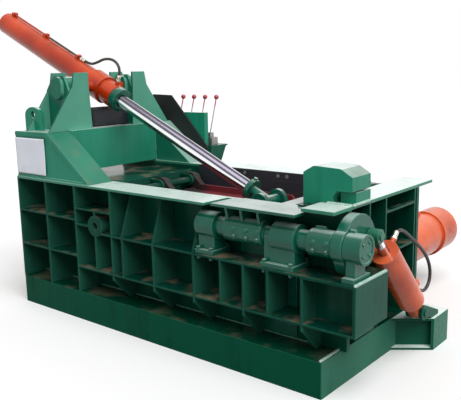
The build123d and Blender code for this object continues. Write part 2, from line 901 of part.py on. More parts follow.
# Turn-out door: upright plate, webs to the hub, tray on top and a holding finger
scoop_low = base_height + slide_gap
door_front = wall_front
door_web = 16
with BuildPart() as turnout_door:
    with BuildSketch(face_y(door_front)):
        with Locations((bay_start, scoop_low)):
            Rectangle(bay_end - bay_start, tray_top - scoop_low, align=low)
    extrude(amount=-wall)
    for web_x in (hub_a[0] + 14, hub_a[0] + 118, hub_a[1] - 30):
        with BuildSketch(face_x(web_x)):
            with BuildLine():
                Polyline(
                    (shaft_y - 40, shaft_z + 30),
                    (front + 30, tray_top - flange),
                    (door_front, tray_top - flange),
                    (door_front, shaft_z - 60),
                    (shaft_y + 20, shaft_z),
                    close=True,
                )
            make_face()
            with Locations((shaft_y, shaft_z)):
                Circle(hub_radius, mode=Mode.SUBTRACT)
        extrude(amount=door_web)
    with BuildSketch(Plane.XY.offset(tray_top - flange)):
        with BuildLine():
            Polyline(
                (tray_start, front),
                (tray_end, front),
                (tray_end, door_front),
                (tray_start + 15, door_front),
                close=True,
            )
        make_face()
    extrude(amount=flange)
    with BuildSketch(Plane.XY.offset(tray_top - 2 * flange)):
        with Locations((finger_start, chamber_front)):
            Rectangle(finger_end - finger_start, 215, align=low)
    extrude(amount=2 * flange)

# Floor scoop under the bale, with a round tip that swings past the fixed floor
with BuildPart() as turnout_scoop:
    with BuildSketch(face_x(bay_start)):
        with BuildLine():
            Polyline(
                (chamber_front, scoop_low),
                (front + 640, scoop_low),
                (front + 640, floor_top),
                (chamber_front + 40, floor_top),
                (chamber_front, floor_top + 40),
                close=True,
            )
        make_face()
        with Locations((shaft_y, shaft_z)):
            Circle(scoop_reach, mode=Mode.INTERSECT)
    extrude(amount=bay_end - bay_start)

# Lobed lever that the turn-out cylinder pushes
with BuildPart() as turnout_lever:
    with BuildSketch(face_x(lever_start)):
        with Locations((lever_centre_y, lever_centre_z)):
            Circle(lever_radius)
        with Locations((shaft_y, shaft_z)):
            Circle(hub_radius + 12)
        with Locations((front, shelf_d - 100)):
            Rectangle(2 * lever_radius + 200, 100 + 22, align=low, mode=Mode.SUBTRACT)
        with Locations((shaft_y, shaft_z)):
            Circle(shaft_radius, mode=Mode.SUBTRACT)
    extrude(amount=lever_end - lever_start)
    chamfer(turnout_lever.faces().sort_by(Axis.X)[-1].outer_wire().edges(), length=4)

# Turn-out cylinder: eye, barrel and bottom dome on one slanted axis
turn_dir = Vector(0, foot_pin_y - arm_pin_y, foot_pin_z - arm_pin_z)
turn_length = turn_dir.length
turn_axis = turn_dir.normalized()
turn_frame = Plane(
    origin=(turn_x, arm_pin_y, arm_pin_z),
    x_dir=(1, 0, 0),
    z_dir=tuple(turn_axis),
)
turn_barrel_end = turn_length - 126
turn_piston = turn_barrel_end - 80
turn_up = Vector(0, -turn_axis.Z, turn_axis.Y)
top_port = 188
bottom_port = 662
port_height = 112
port_radius = 16
elbow_length = 48


def on_turn_cylinder(along, up):
    """A point beside the turn-out cylinder: distance from the rod pin and above it."""
    return turn_frame.origin + turn_axis * along + turn_up * up


with BuildPart() as turnout_barrel:
    with BuildSketch(turn_frame.offset(turn_barrel_top)):
        Circle(turn_barrel_radius)
    extrude(amount=turn_barrel_end - turn_barrel_top)
    with BuildSketch(turn_frame.offset(turn_barrel_end)):
        Circle(turn_barrel_radius)
    extrude(amount=turn_dome, taper=30)
    with BuildSketch(turn_frame.offset(turn_barrel_top)):
        Circle(turn_rod_radius + pin_clearance)
    extrude(amount=60, mode=Mode.SUBTRACT)
    with BuildSketch(turn_frame.offset(turn_barrel_top + 60)):
        Circle(turn_barrel_bore)
    extrude(amount=turn_barrel_end - turn_barrel_top - 80, mode=Mode.SUBTRACT)
    with BuildSketch(face_x(turn_x - 28)):
        with Locations((foot_pin_y, foot_pin_z)):
            Circle(foot_eye_radius)
    extrude(amount=56)
    with BuildSketch(turn_frame.offset(turn_barrel_end + 20)):
        Rectangle(56, 2 * foot_eye_radius)
    extrude(amount=turn_length - turn_barrel_end - 20)
    with BuildSketch(face_x(turn_x - 28)):
        with Locations((foot_pin_y, foot_pin_z)):
            Circle(foot_pin_radius + pin_clearance)
    extrude(amount=56, mode=Mode.SUBTRACT)
    with BuildSketch(Plane(origin=on_turn_cylinder(top_port, port_height), z_dir=-turn_up)):
        Circle(port_radius)
    extrude(amount=port_height - turn_barrel_radius + 7)
    with BuildSketch(Plane(origin=on_turn_cylinder(bottom_port, 0), x_dir=(1, 0, 0), z_dir=-turn_axis)):
        with Locations((0, turn_barrel_radius - 5)):
            Rectangle(2 * port_radius, port_height + 12 - turn_barrel_radius, align=(Align.CENTER, Align.MIN))
    extrude(amount=elbow_length)

# Turn-out rod with its eye beside the lever
with BuildPart() as turnout_rod:
    with BuildSketch(face_x(turn_x - turn_eye_half)):
        with Locations((arm_pin_y, arm_pin_z)):
            Circle(turn_eye_radius)
    extrude(amount=2 * turn_eye_half)
    with BuildSketch(turn_frame):
        Circle(turn_rod_radius)
    extrude(amount=turn_piston + 50)
    with BuildSketch(turn_frame.offset(turn_piston)):
        Circle(turn_barrel_bore - pin_clearance)
    extrude(amount=50)
    with BuildSketch(face_x(turn_x + turn_eye_half)):
        with Locations((arm_pin_y, arm_pin_z)):
            Circle(22)
    extrude(amount=12)

# Pin bracket on the foot: two leaning plates and the pin through them
bracket_plate = 22
bracket_seat = front + 932
with BuildPart() as foot_bracket:
    for plate_x in (turn_x - 28 - 2 - bracket_plate, turn_x + 28 + 2):
        with BuildSketch(face_x(plate_x)):
            with BuildLine():
                Polyline(
                    (bracket_seat, foot_height),
                    (bracket_seat + 110, foot_height),
                    (bracket_seat + 110, foot_height + 25),
                    (foot_pin_y + 26, foot_pin_z + 36),
                    (foot_pin_y - 30, foot_pin_z - 32),
                    (bracket_seat, foot_height + 12),
                    close=True,
                )
            make_face()
            with Locations((foot_pin_y, foot_pin_z)):
                Circle(44)
        extrude(amount=bracket_plate)
    with BuildSketch(face_x(turn_x - 28 - 2 - bracket_plate - 10)):
        with Locations((foot_pin_y, foot_pin_z)):
            Circle(foot_pin_radius)
    extrude(amount=56 + 4 + 2 * bracket_plate + 20)

# Lid: thick plate with two long ribs and the pin ears
ear_near = -ear_spacing / 2 - ear_thickness / 2
ear_far = ear_spacing / 2 - ear_thickness / 2
knuckle_y = [-330, -20, 290]
knuckle_width = 40
with BuildPart() as lid:
    with BuildSketch(Plane.XY.offset(lid_top - lid_thickness)):
        with Locations((lid_start, chamber_front + liner + lid_side_gap)):
            Rectangle(lid_end - lid_start, chamber_width - 2 * liner - 2 * lid_side_gap, align=low)
    extrude(amount=lid_thickness)
    for rib_y in (-260, 246):
        with BuildSketch(face_y(rib_y)):
            with BuildLine():
                Polyline(
                    (lid_start + 80, lid_top),
                    (lid_end - 60, lid_top),
                    (lid_end - 100, lid_top + 45),
                    (lid_start + 120, lid_top + 45),
                    close=True,
                )
            make_face()
        extrude(amount=-lid_rib)
    for mount_y in knuckle_y:
        with BuildSketch(face_y(mount_y)):
            with BuildLine():
                Polyline(
                    (lid_start, lid_top),
                    (lid_start + 140, lid_top),
                    (hinge_x + 30, hinge_z + knuckle_radius - 12),
                    (hinge_x, hinge_z),
                    close=True,
                )
            make_face()
            with Locations((hinge_x, hinge_z)):
                Circle(knuckle_radius)
            with Locations((hinge_x, hinge_z)):
                Circle(hinge_pin + pin_clearance, mode=Mode.SUBTRACT)
        extrude(amount=-knuckle_width)

with BuildPart() as lid_ears:
    for ear_y in (ear_near, ear_far):
        with BuildSketch(face_y(ear_y)):
            with Locations((eye_x, eye_z)):
                Circle(ear_radius)
            with BuildLine():
                Polyline(
                    (eye_x - 88, lid_top),
                    (eye_x + 88, lid_top),
                    (eye_x + ear_radius * 0.9, eye_z + ear_radius * 0.43),
                    (eye_x - ear_radius * 0.9, eye_z + ear_radius * 0.43),
                    close=True,
                )
            make_face()
            with Locations((eye_x, lid_top - 200)):
                Rectangle(400, 200, align=(Align.CENTER, Align.MIN), mode=Mode.SUBTRACT)
        extrude(amount=-ear_thickness)
    for pin_y in (ear_near - 14, ear_far + ear_thickness):
        with BuildSketch(face_y(pin_y)):
            with Locations((eye_x, eye_z)):
                Circle(26)
        extrude(amount=-14)

# Hinge brackets on the deck and the long hinge pin
with BuildPart() as lid_hinge_brackets:
    for mount_y in knuckle_y:
        for side_y in (mount_y - 2 - 26, mount_y + knuckle_width + 2):
            with BuildSketch(face_y(side_y)):
                with BuildLine():
                    Polyline(
                        (deck_end, lid_top - lid_thickness),
                        (deck_end, box_top - flange),
                        (hinge_x, hinge_z + knuckle_radius - 14),
                        (hinge_x, hinge_z - knuckle_radius + 14),
                        close=True,
                    )
                make_face()
                with Locations((hinge_x, hinge_z)):
                    Circle(knuckle_radius - 12)
            extrude(amount=-26)
    with BuildSketch(face_y(knuckle_y[0] - 40)):
        with Locations((hinge_x, hinge_z)):
            Circle(hinge_pin)
    extrude(amount=-(knuckle_y[2] + knuckle_width + 40 - knuckle_y[0] + 40))

# Lid cylinder on one slanted axis through the trunnion and the eye
lid_dir = Vector(eye_x - trunnion_x, 0, eye_z - trunnion_z)
lid_reach = lid_dir.length
lid_axis = lid_dir.normalized()
lid_frame = Plane(origin=(trunnion_x, 0, trunnion_z), x_dir=(0, 1, 0), z_dir=tuple(lid_axis))
lid_up = lid_axis.cross(Vector(0, 1, 0))


def on_lid_cylinder(along, up):
    """A point beside the lid cylinder: distance along the rod and above it."""
    return lid_frame.origin + lid_axis * along + lid_up * up


gland_length = 60
with BuildPart() as lid_barrel:
    with BuildSketch(lid_frame.offset(-barrel_behind)):
        Circle(lid_barrel_radius)
    extrude(amount=barrel_behind + barrel_ahead - gland_length)
    with BuildSketch(lid_frame.offset(-barrel_behind + 50)):
        Circle(lid_barrel_bore)
    extrude(amount=barrel_behind + barrel_ahead, mode=Mode.SUBTRACT)
    fillet(lid_barrel.faces().sort_by(Axis.X)[0].edges(), radius=18)
    with BuildSketch(lid_frame.offset(-70)):
        Circle(lid_barrel_radius + 16)
        Circle(lid_barrel_bore, mode=Mode.SUBTRACT)
    extrude(amount=140)
    with BuildSketch(face_y(-lid_barrel_bore - 6)):
        with Locations((trunnion_x, trunnion_z)):
            Circle(trunnion_radius)
    extrude(amount=-(cheek_outer + 4) - lid_barrel_bore - 6)
    with BuildSketch(face_y(lid_barrel_bore + 6)):
        with Locations((trunnion_x, trunnion_z)):
            Circle(trunnion_radius)
    extrude(amount=(cheek_outer + 4) + lid_barrel_bore + 6)

with BuildPart() as lid_gland:
    with BuildSketch(lid_frame.offset(barrel_ahead - gland_length)):
        Circle(lid_barrel_radius + 14)
        Circle(lid_rod_radius + pin_clearance, mode=Mode.SUBTRACT)
    extrude(amount=gland_length)
    chamfer(lid_gland.edges().filter_by(GeomType.CIRCLE).filter_by(lambda e: e.radius > lid_barrel_radius), length=5)

with BuildPart() as lid_rod:
    with BuildSketch(lid_frame.offset(barrel_ahead - gland_length - 80)):
        Circle(lid_barrel_bore - pin_clearance)
    extrude(amount=60)
    with BuildSketch(lid_frame.offset(barrel_ahead - gland_length - 80)):
        Circle(lid_rod_radius)
    extrude(amount=lid_reach - collar_distance - 15 - barrel_ahead + gland_length + 80)

eye_neck = 33
eye_half = ear_spacing / 2 - ear_thickness / 2 - 5
with BuildPart() as lid_rod_eye:
    with BuildSketch(lid_frame.offset(lid_reach - collar_distance - 15)):
        Circle(collar_radius)
    extrude(amount=30)
    with BuildSketch(lid_frame.offset(lid_reach - collar_distance + 15)):
        Circle(eye_neck)
    extrude(amount=collar_distance - 15)
    with BuildSketch(Plane(origin=on_lid_cylinder(lid_reach - collar_distance, 0), z_dir=lid_up).offset(collar_radius - 5)):
        RegularPolygon(collar_nut, 6)
    extrude(amount=collar_nut + 5)
    with BuildSketch(face_y(-eye_half)):
        with Locations((eye_x, eye_z)):
            Circle(eye_radius)
    extrude(amount=-2 * eye_half)

# Steel pipe and port on the lid cylinder, and the hose loop between them
hose_radius = 10
pipe_height = lid_barrel_radius + 15
pipe_start = -268
port_station = 166

pipe_radius = 7
clamp_width = 26
with BuildPart() as lid_pipe:
    with BuildSketch(Plane(origin=on_lid_cylinder(pipe_start, pipe_height), z_dir=-lid_axis)):
        Circle(pipe_radius)
    extrude(amount=barrel_behind + pipe_start - 60)
    for clamp in (-330, -760, -barrel_behind + 70):
        with BuildSketch(Plane(origin=on_lid_cylinder(clamp, 0), x_dir=(0, 1, 0), z_dir=lid_axis)):
            with Locations((0, lid_barrel_radius + 7)):
                Rectangle(44, 44)
            Circle(lid_barrel_radius, mode=Mode.SUBTRACT)
        extrude(amount=clamp_width)
    with BuildSketch(Plane(origin=on_lid_cylinder(port_station, 0), z_dir=lid_up)):
        Circle(16)
    extrude(amount=lid_barrel_radius + 28)
    with BuildSketch(Plane(origin=on_lid_cylinder(port_station - 40, 0), x_dir=(0, 1, 0), z_dir=lid_axis)):
        Circle(lid_barrel_radius)
    extrude(amount=80, mode=Mode.SUBTRACT)

lid_hose_route = [
    (port_station, 118),
    (port_station, 178),
    (136, 228),
    (66, 246),
    (-28, 214),
    (-104, 146),
    (-172, pipe_height),
    (pipe_start, pipe_height),
]
lid_hose_points = [on_lid_cylinder(*p) for p in lid_hose_route]


def cord_radii(points):
    """The largest corner radii that the runs of a hose leave room for."""
    radii = []
    for before, here, after in zip(points, points[1:], points[2:]):
        turn = math.radians((here - before).get_angle(after - here))
        shorter = min((here - before).length, (after - here).length)
        radii.append(0.45 * shorter / math.tan(turn / 2))
    return radii


lid_hose_radii = cord_radii(lid_hose_points)
print("lid hose radii", [round(r) for r in lid_hose_radii])
with BuildPart() as lid_hose:
    with BuildLine() as lid_hose_path:
        FilletPolyline(*lid_hose_points, radius=lid_hose_radii)
    with BuildSketch(Plane(origin=lid_hose_points[0], z_dir=lid_hose_points[1] - lid_hose_points[0])):
        Circle(hose_radius)
    sweep()

# Hose of the turn-out cylinder, from its top port round to its bottom port
turn_route = [
    (top_port, port_height),
    (top_port, 168),
    (250, 212),
    (440, 262),
    (610, 298),
    (735, 288),
    (806, 230),
    (798, 152),
    (734, port_height - 8),
    (bottom_port, port_height - 8),
]
turn_points = [on_turn_cylinder(*p) for p in turn_route]
turn_radii = cord_radii(turn_points)
print("turn-out hose radii", [round(r) for r in turn_radii])
with BuildPart() as turnout_hose:
    with BuildLine():
        FilletPolyline(*turn_points, radius=turn_radii)
    with BuildSketch(Plane(origin=turn_points[0], z_dir=turn_points[1] - turn_points[0])):
        Circle(hose_radius)
    sweep()

# Table for the valves, on the rear ribs
table_top = 1095
table_left = left + 280
table_right = left + 812
table_depth = 200
with BuildPart() as valve_stand:
    with BuildSketch(face_y(rear)):
        with Locations((left + 330, 700)):
            Rectangle(table_right - left - 330, table_top - 700, align=low)
    extrude(amount=-plate)
    with BuildSketch(Plane.XY.offset(table_top - plate)):
        with Locations((table_left, rear)):
            Rectangle(table_right - table_left, table_depth, align=low)
    extrude(amount=plate)
    for brace_x in (left + 400, left + 600, table_right - plate):
        with BuildSketch(face_x(brace_x)):
            with BuildLine():
                Polyline(
                    (rear, table_top - plate),
                    (rear + table_depth - 20, table_top - plate),
                    (rear + plate, 760),
                    (rear, 760),
                    close=True,
                )
            make_face()
        extrude(amount=plate)

# Four-spool valve block with a slotted cap for each lever
lever_pitch = 122
lever_x = [left + 354 + n * lever_pitch for n in range(4)]
lever_y = rear + 92
valve_height = 60
cap_height = 36
lever_z = table_top + valve_height + 23
lever_pin = 4
lever_tongue = 12
with BuildPart() as valve_block:
    with BuildSketch(Plane.XY.offset(table_top)):
        with Locations((left + 300, lever_y - 36)):
            Rectangle(475, 72, align=low)
    extrude(amount=valve_height)
    chamfer(valve_block.edges().filter_by(Axis.Z), length=6)
    for x in lever_x:
        with BuildSketch(Plane.XY.offset(table_top + valve_height)):
            with Locations((x, lever_y)):
                Rectangle(40, 44)
        extrude(amount=cap_height)
        with BuildSketch(Plane.XY.offset(table_top + valve_height + 7)):
            with Locations((x, lever_y)):
                Rectangle(lever_tongue + 2, 44)
        extrude(amount=cap_height, mode=Mode.SUBTRACT)
        with BuildSketch(face_x(x - 20)):
            with Locations((lever_y, lever_z)):
                Circle(lever_pin)
        extrude(amount=40)

# Control levers: tongue, thin rod and round knob, leaning to the operator
lever_lean = 17
lever_length = 305
knob_radius = 20
lever_parts = []
for x in lever_x:
    lean = math.radians(lever_lean)
    rod_dir = Vector(0, math.sin(lean), math.cos(lean))
    with BuildPart() as lever:
        with BuildSketch(face_x(x - lever_tongue / 2)):
            with Locations((lever_y, lever_z)):
                Circle(lever_tongue)
        extrude(amount=lever_tongue)
        with BuildSketch(Plane(origin=(x, lever_y, lever_z), z_dir=rod_dir)):
            Circle(5)
        extrude(amount=lever_length)
        with BuildSketch(face_x(x - lever_tongue / 2)):
            with Locations((lever_y, lever_z)):
                Circle(lever_pin + pin_clearance)
        extrude(amount=lever_tongue, mode=Mode.SUBTRACT)
        with Locations((x, lever_y + rod_dir.Y * lever_length, lever_z + rod_dir.Z * lever_length)):
            Sphere(knob_radius)
    lever_parts.append(lever)

# Control box in front of the valves
with BuildPart() as control_box:
    with BuildSketch(Plane.XY.offset(table_top)):
        with Locations((left + 520, rear)):
            Rectangle(225, 46, align=low)
    extrude(amount=261)
    fillet(control_box.edges().filter_by(Axis.Z), radius=6)

# Every piece is named and written to its own file
pieces = {
    "base_plinth": base_plinth,
    "outrigger_foot": outrigger_foot,
    "chamber_floor": chamber_floor,
    "front_wall": front_wall,
    "rear_wall": rear_wall,
    "left_end_plate": left_end_plate,
    "bay_end_wall": bay_end_wall,
    "end_frame": end_frame,
    "front_ribs_left": front_ribs_left,
    "front_ribs_boss": front_ribs_boss,
    "side_boss": side_boss,
    "long_shelves": long_shelves,
    "shelf_brackets": shelf_brackets,
    "middle_ribs": middle_ribs,
    "pedestal": pedestal,
    "tapered_gussets": tapered_gussets,
    "front_flange": front_flange,
    "rear_flange": rear_flange,
    "rear_ribs": rear_ribs,
    "deck_plate": deck_plate,
    "liner_plates": liner_plates,
    "liner_bolts": liner_bolts,
    "tower_base_front": tower_base_front,
    "tower_base_rear": tower_base_rear,
    "crossbeam": crossbeam,
    "front_tower": front_tower,
    "rear_tower": rear_tower,
    "lifting_lugs": lifting_lugs,
    "roof_plate": roof_plate,
    "lock_head": lock_head,
    "main_cylinder": main_cylinder,
    "main_ram": main_ram,
    "side_cylinder": side_cylinder,
    "side_ram": side_ram,
    "shaft_bearings": shaft_bearings,
    "bearing_bolts": bearing_bolts,
    "turnout_shaft": turnout_shaft,
    "turnout_door": turnout_door,
    "turnout_scoop": turnout_scoop,
    "turnout_lever": turnout_lever,
    "turnout_barrel": turnout_barrel,
    "turnout_rod": turnout_rod,
    "foot_bracket": foot_bracket,
    "lid": lid,
    "lid_ears": lid_ears,
    "lid_hinge_brackets": lid_hinge_brackets,
    "lid_barrel": lid_barrel,
    "lid_gland": lid_gland,
    "lid_rod": lid_rod,
    "lid_rod_eye": lid_rod_eye,
    "lid_pipe": lid_pipe,
    "lid_hose": lid_hose,
    "turnout_hose": turnout_hose,
    "valve_stand": valve_stand,
    "valve_block": valve_block,
    "lever_1": lever_parts[0],
    "lever_2": lever_parts[1],
    "lever_3": lever_parts[2],
    "lever_4": lever_parts[3],
    "control_box": control_box,
}
os.makedirs("parts", exist_ok=True)
for name, piece in pieces.items():
    piece.part.label = name
    export_step(piece.part, f"parts/{name}.step")
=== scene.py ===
import math
import random

import bpy
from mathutils import Matrix, Vector


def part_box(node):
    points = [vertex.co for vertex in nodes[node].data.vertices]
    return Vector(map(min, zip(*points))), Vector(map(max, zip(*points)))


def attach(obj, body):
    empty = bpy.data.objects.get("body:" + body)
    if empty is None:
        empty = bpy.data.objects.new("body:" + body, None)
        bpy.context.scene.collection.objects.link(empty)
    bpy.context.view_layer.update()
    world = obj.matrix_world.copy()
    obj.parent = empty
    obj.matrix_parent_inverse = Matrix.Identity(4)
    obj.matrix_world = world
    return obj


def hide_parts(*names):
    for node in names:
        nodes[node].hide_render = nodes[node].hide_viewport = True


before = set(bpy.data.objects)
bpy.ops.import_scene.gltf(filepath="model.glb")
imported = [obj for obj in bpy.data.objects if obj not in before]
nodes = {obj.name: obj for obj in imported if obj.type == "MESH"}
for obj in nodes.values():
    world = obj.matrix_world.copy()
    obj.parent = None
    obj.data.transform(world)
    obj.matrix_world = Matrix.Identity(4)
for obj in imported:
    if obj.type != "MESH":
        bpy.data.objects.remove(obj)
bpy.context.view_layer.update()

random.seed(7)

# Camera: it stands off the baler's right front corner, a little above the roof plate,
# and looks down along the length of the press box. It leans a degree, as the hand-held
# picture does.
camera_place = Vector((2.99935, -3.38153, 1.68998))
camera_turn = math.radians(39.54)
camera_dip = math.radians(11.02)
camera_lean = math.radians(-1.16)
picture_width = 461
focal_pixels = 672

camera_data = bpy.data.cameras.new("yard_camera")
camera_data.sensor_width = 36
camera_data.lens = focal_pixels / picture_width * camera_data.sensor_width
camera = bpy.data.objects.new("yard_camera", camera_data)
bpy.context.scene.collection.objects.link(camera)
camera.matrix_world = (
    Matrix.Translation(camera_place)
    @ Matrix.Rotation(camera_turn, 4, "Z")
    @ Matrix.Rotation(math.pi / 2 - camera_dip, 4, "X")
    @ Matrix.Rotation(camera_lean, 4, "Z")
)
bpy.context.scene.camera = camera


# Green enamel: the welded plate frame is brushed and rolled with glossy green enamel.
# Coats differ a little from plate to plate, runs hang down the upright faces, edges are
# worn paler, and brown yard dust lies on what faces up.
class Wire:
    """A number on its way through a node tree, for use in plain sums."""

    def __init__(self, tree, socket):
        self.tree = tree
        self.socket = socket

    def sum_with(self, operation, first, second):
        box = self.tree.nodes.new("ShaderNodeMath")
        box.operation = operation
        for slot, value in zip(box.inputs, (first, second)):
            if isinstance(value, Wire):
                self.tree.links.new(value.socket, slot)
            else:
                slot.default_value = value
        return Wire(self.tree, box.outputs[0])

    def __add__(self, other):
        return self.sum_with("ADD", self, other)

    __radd__ = __add__

    def __sub__(self, other):
        return self.sum_with("SUBTRACT", self, other)

    def __rsub__(self, other):
        return self.sum_with("SUBTRACT", other, self)

    def __mul__(self, other):
        return self.sum_with("MULTIPLY", self, other)

    __rmul__ = __mul__

    def __pow__(self, other):
        return self.sum_with("POWER", self, other)

    def __gt__(self, other):
        return self.sum_with("GREATER_THAN", self, other)

    def __lt__(self, other):
        return self.sum_with("LESS_THAN", self, other)


class Finish:
    """One finish: its material and the nodes that make it up."""

    def __init__(self, name):
        self.material = bpy.data.materials.new(name)
        self.material.use_nodes = True
        self.tree = self.material.node_tree
        self.tree.nodes.clear()
        self.place = self.node("ShaderNodeTexCoord", out="Object")
        self.facing = self.node("ShaderNodeNewGeometry", out="Normal")

    def node(self, kind, settings=None, sockets=None, out=0):
        """Adds a node with its settings and the values or links of its sockets."""
        made = self.tree.nodes.new(kind)
        for name, value in (settings or {}).items():
            setattr(made, name, value)
        for name, value in (sockets or {}).items():
            if isinstance(value, Wire):
                self.tree.links.new(value.socket, made.inputs[name])
            elif isinstance(value, tuple) and made.inputs[name].type == "RGBA":
                made.inputs[name].default_value = (*value, 1)
            else:
                made.inputs[name].default_value = value
        return Wire(self.tree, made.outputs[out]) if len(made.outputs) else None

    def mottle(self, size, detail=3.0, stretch=(1, 1, 1)):
        """Cloudy variation from 0 to 1, with patches of about size metres."""
        spread = self.node(
            "ShaderNodeMapping", {}, {"Vector": self.place, "Scale": stretch}, out="Vector"
        )
        return self.node(
            "ShaderNodeTexNoise", {}, {"Vector": spread, "Scale": 1 / size, "Detail": detail}, out="Fac"
        )

    def ease(self, wire, start, end):
        """0 below start, 1 above end and a soft step between them."""
        return self.node(
            "ShaderNodeMapRange",
            {"interpolation_type": "SMOOTHSTEP"},
            {"Value": wire, "From Min": start, "From Max": end},
            out="Result",
        )

    def blend(self, amount, under, over):
        """The colour under, covered by the colour over where amount is 1."""
        return self.node("ShaderNodeMix", {"data_type": "RGBA"}, {0: amount, 6: under, 7: over}, out=2)

    def axis(self, wire, letter):
        """One coordinate of a vector."""
        return self.node("ShaderNodeSeparateXYZ", {}, {"Vector": wire}, out=letter)

    def along(self, wire, direction):
        """How far a vector reaches along a direction."""
        return self.node(
            "ShaderNodeVectorMath", {"operation": "DOT_PRODUCT"}, {0: wire, 1: direction}, out="Value"
        )

    def worn_edge(self, radius):
        """The rounded normal, and 1 on the sharp edges of a plate and 0 on its flats."""
        rounded = self.node("ShaderNodeBevel", {"samples": 4}, {"Radius": radius}, out="Normal")
        match = self.along(rounded, self.facing)
        return rounded, self.ease(1 - match, 0.02, 0.22)

    def surface(self, bump_height, distance, strength, under=None):
        """A normal with bumps of a given height on top of another normal."""
        sockets = {"Height": bump_height, "Distance": distance, "Strength": strength}
        if under is not None:
            sockets["Normal"] = under
        return self.node("ShaderNodeBump", {}, sockets, out="Normal")

    def shade(self, **sockets):
        """Ends the material in one shader, whose sockets are named with underscores."""
        named = {key.replace("_", " "): value for key, value in sockets.items()}
        shader = self.node("ShaderNodeBsdfPrincipled", {}, named, out="BSDF")
        self.node("ShaderNodeOutputMaterial", {}, {"Surface": shader})
        return self.material


dust_brown = (0.20, 0.155, 0.105)
# The pale mint is painted glare for level tops; the green below it is painted sunlight.
glare_green = (0.80, 0.93, 0.88)
painted_sunlight_green = (0.13, 0.42, 0.30)


def enamel(name, deep, fresh, edge, dust, glare_share=0.0, gloss=0.24, runs=1.0, gleam=0.15, sunlight_share=0.0):
    """Enamel on plate work, with worn edges, dust, a wet-looking upper side and painted light.

    Level tops are paler as painted glare, and faces towards +X lighter as painted sunlight.
    The shares of dust, painted glare, runs and painted sunlight go from 0 up.
    """
    paint = Finish(name)
    steepness = paint.axis(paint.facing, "Z")
    patches = paint.mottle(0.42, 4)
    streaks = paint.mottle(0.05, 4, (1, 1, 0.07))
    fine = paint.mottle(0.012, 2)
    upward = paint.ease(steepness, 0.5, 0.95)
    upright = 1 - paint.ease(steepness, 0.1, 0.5)
    tone = paint.ease(patches * 0.6 + streaks * upright * 0.4 * runs + fine * 0.12, 0.22, 0.78)
    colour = paint.blend(tone, deep, fresh)
    level = paint.ease(steepness, 0.78, 0.97)
    # Painted glare: level tops are made paler in patches, towards the pale mint.
    painted_glare = level * paint.ease(patches * 0.6 + paint.mottle(0.11, 5) * 0.4, 0.15, 0.5) * glare_share
    colour = paint.blend(painted_glare, colour, glare_green)
    # Painted sunlight: faces that look along +X are lightened, towards a brighter green.
    painted_sunlight = paint.ease(paint.axis(paint.facing, "X"), 0.5, 0.9) * (0.5 + patches) * sunlight_share
    colour = paint.blend(painted_sunlight, colour, painted_sunlight_green)
    rounded, rim = paint.worn_edge(0.006)
    colour = paint.blend(rim * (0.3 + patches * 0.5), colour, edge)
    settled = paint.ease(paint.mottle(0.16, 5), 0.46, 0.66) * upward * dust
    colour = paint.blend(settled, colour, dust_brown)
    scuffs = paint.ease(paint.mottle(0.035, 6), 0.70, 0.76) * 0.3
    colour = paint.blend(scuffs, colour, edge)
    rough = gloss + fine * 0.12 + settled * 0.4 + scuffs * 0.3
    peel = paint.mottle(0.02, 2) * 0.5 + streaks * 0.5
    return paint.shade(
        Base_Color=colour,
        Roughness=rough,
        Specular_IOR_Level=gleam,
        Normal=paint.surface(peel, 0.0012, 0.35, rounded),
        Coat_Weight=upward * 0.5 + 0.02,
        Coat_Roughness=0.12,
    )


upper_green = enamel(
    "frame_green_enamel", (0.002, 0.155, 0.090), (0.016, 0.275, 0.168), edge=(0.20, 0.50, 0.37),
    dust=0.3, glare_share=0.8, sunlight_share=0.1,
)
# The box walls, ribs, pedestal and brackets take a far darker copy of the frame enamel, which is painted
# shade.
rib_green = enamel(
    "rib_green_enamel", (0.0006, 0.028, 0.019), (0.003, 0.075, 0.045), edge=(0.05, 0.25, 0.16),
    dust=0.8, gleam=0.05, sunlight_share=0.10,
)
flange_green = enamel(
    "flange_green_enamel", (0.010, 0.150, 0.088), (0.050, 0.270, 0.170), edge=(0.30, 0.55, 0.44),
    dust=0.16, glare_share=1.0, gloss=0.18,
)
# The towers take the most painted sunlight on their faces towards +X.
tower_green = enamel(
    "tower_green_enamel", (0.002, 0.105, 0.062), (0.012, 0.190, 0.120), edge=(0.20, 0.48, 0.36),
    dust=0.2, glare_share=0.8, sunlight_share=0.75,
)
upper_nodes = ["tower_base_front", "crossbeam", "lifting_lugs", "lock_head", "control_box"]
tower_nodes = ["front_tower", "rear_tower"]
rib_nodes = [
    "front_wall", "rear_wall", "left_end_plate", "bay_end_wall", "end_frame", "front_ribs_left",
    "front_ribs_boss", "side_boss", "long_shelves", "shelf_brackets", "middle_ribs", "pedestal",
    "tapered_gussets", "rear_ribs", "valve_stand", "foot_bracket", "deck_plate", "lid_hinge_brackets",
]
flange_nodes = ["front_flange", "rear_flange", "roof_plate"]


def paint_nodes(names, finish):
    """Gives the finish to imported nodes, whose meshes stay as they are."""
    for name in names:
        for slot in nodes[name].material_slots:
            slot.material = finish


paint_nodes(upper_nodes, upper_green)
paint_nodes(tower_nodes, tower_green)
paint_nodes(rib_nodes, rib_green)
paint_nodes(flange_nodes, flange_green)

# Turn-out shaft work: forged hubs, cast bearing blocks and the lobed end cap. They are
# painted over with the frame, and hands, oil and rope keep their round faces shinier.
shaft_green = enamel(
    "shaft_green_enamel", (0.002, 0.085, 0.052), (0.012, 0.165, 0.108), edge=(0.14, 0.42, 0.30),
    dust=0.2, glare_share=0.4, gloss=0.14, runs=0.4, gleam=0.30,
)
shaft_nodes = ["shaft_bearings", "turnout_shaft", "turnout_lever", "turnout_door", "bearing_bolts"]
paint_nodes(shaft_nodes, shaft_green)
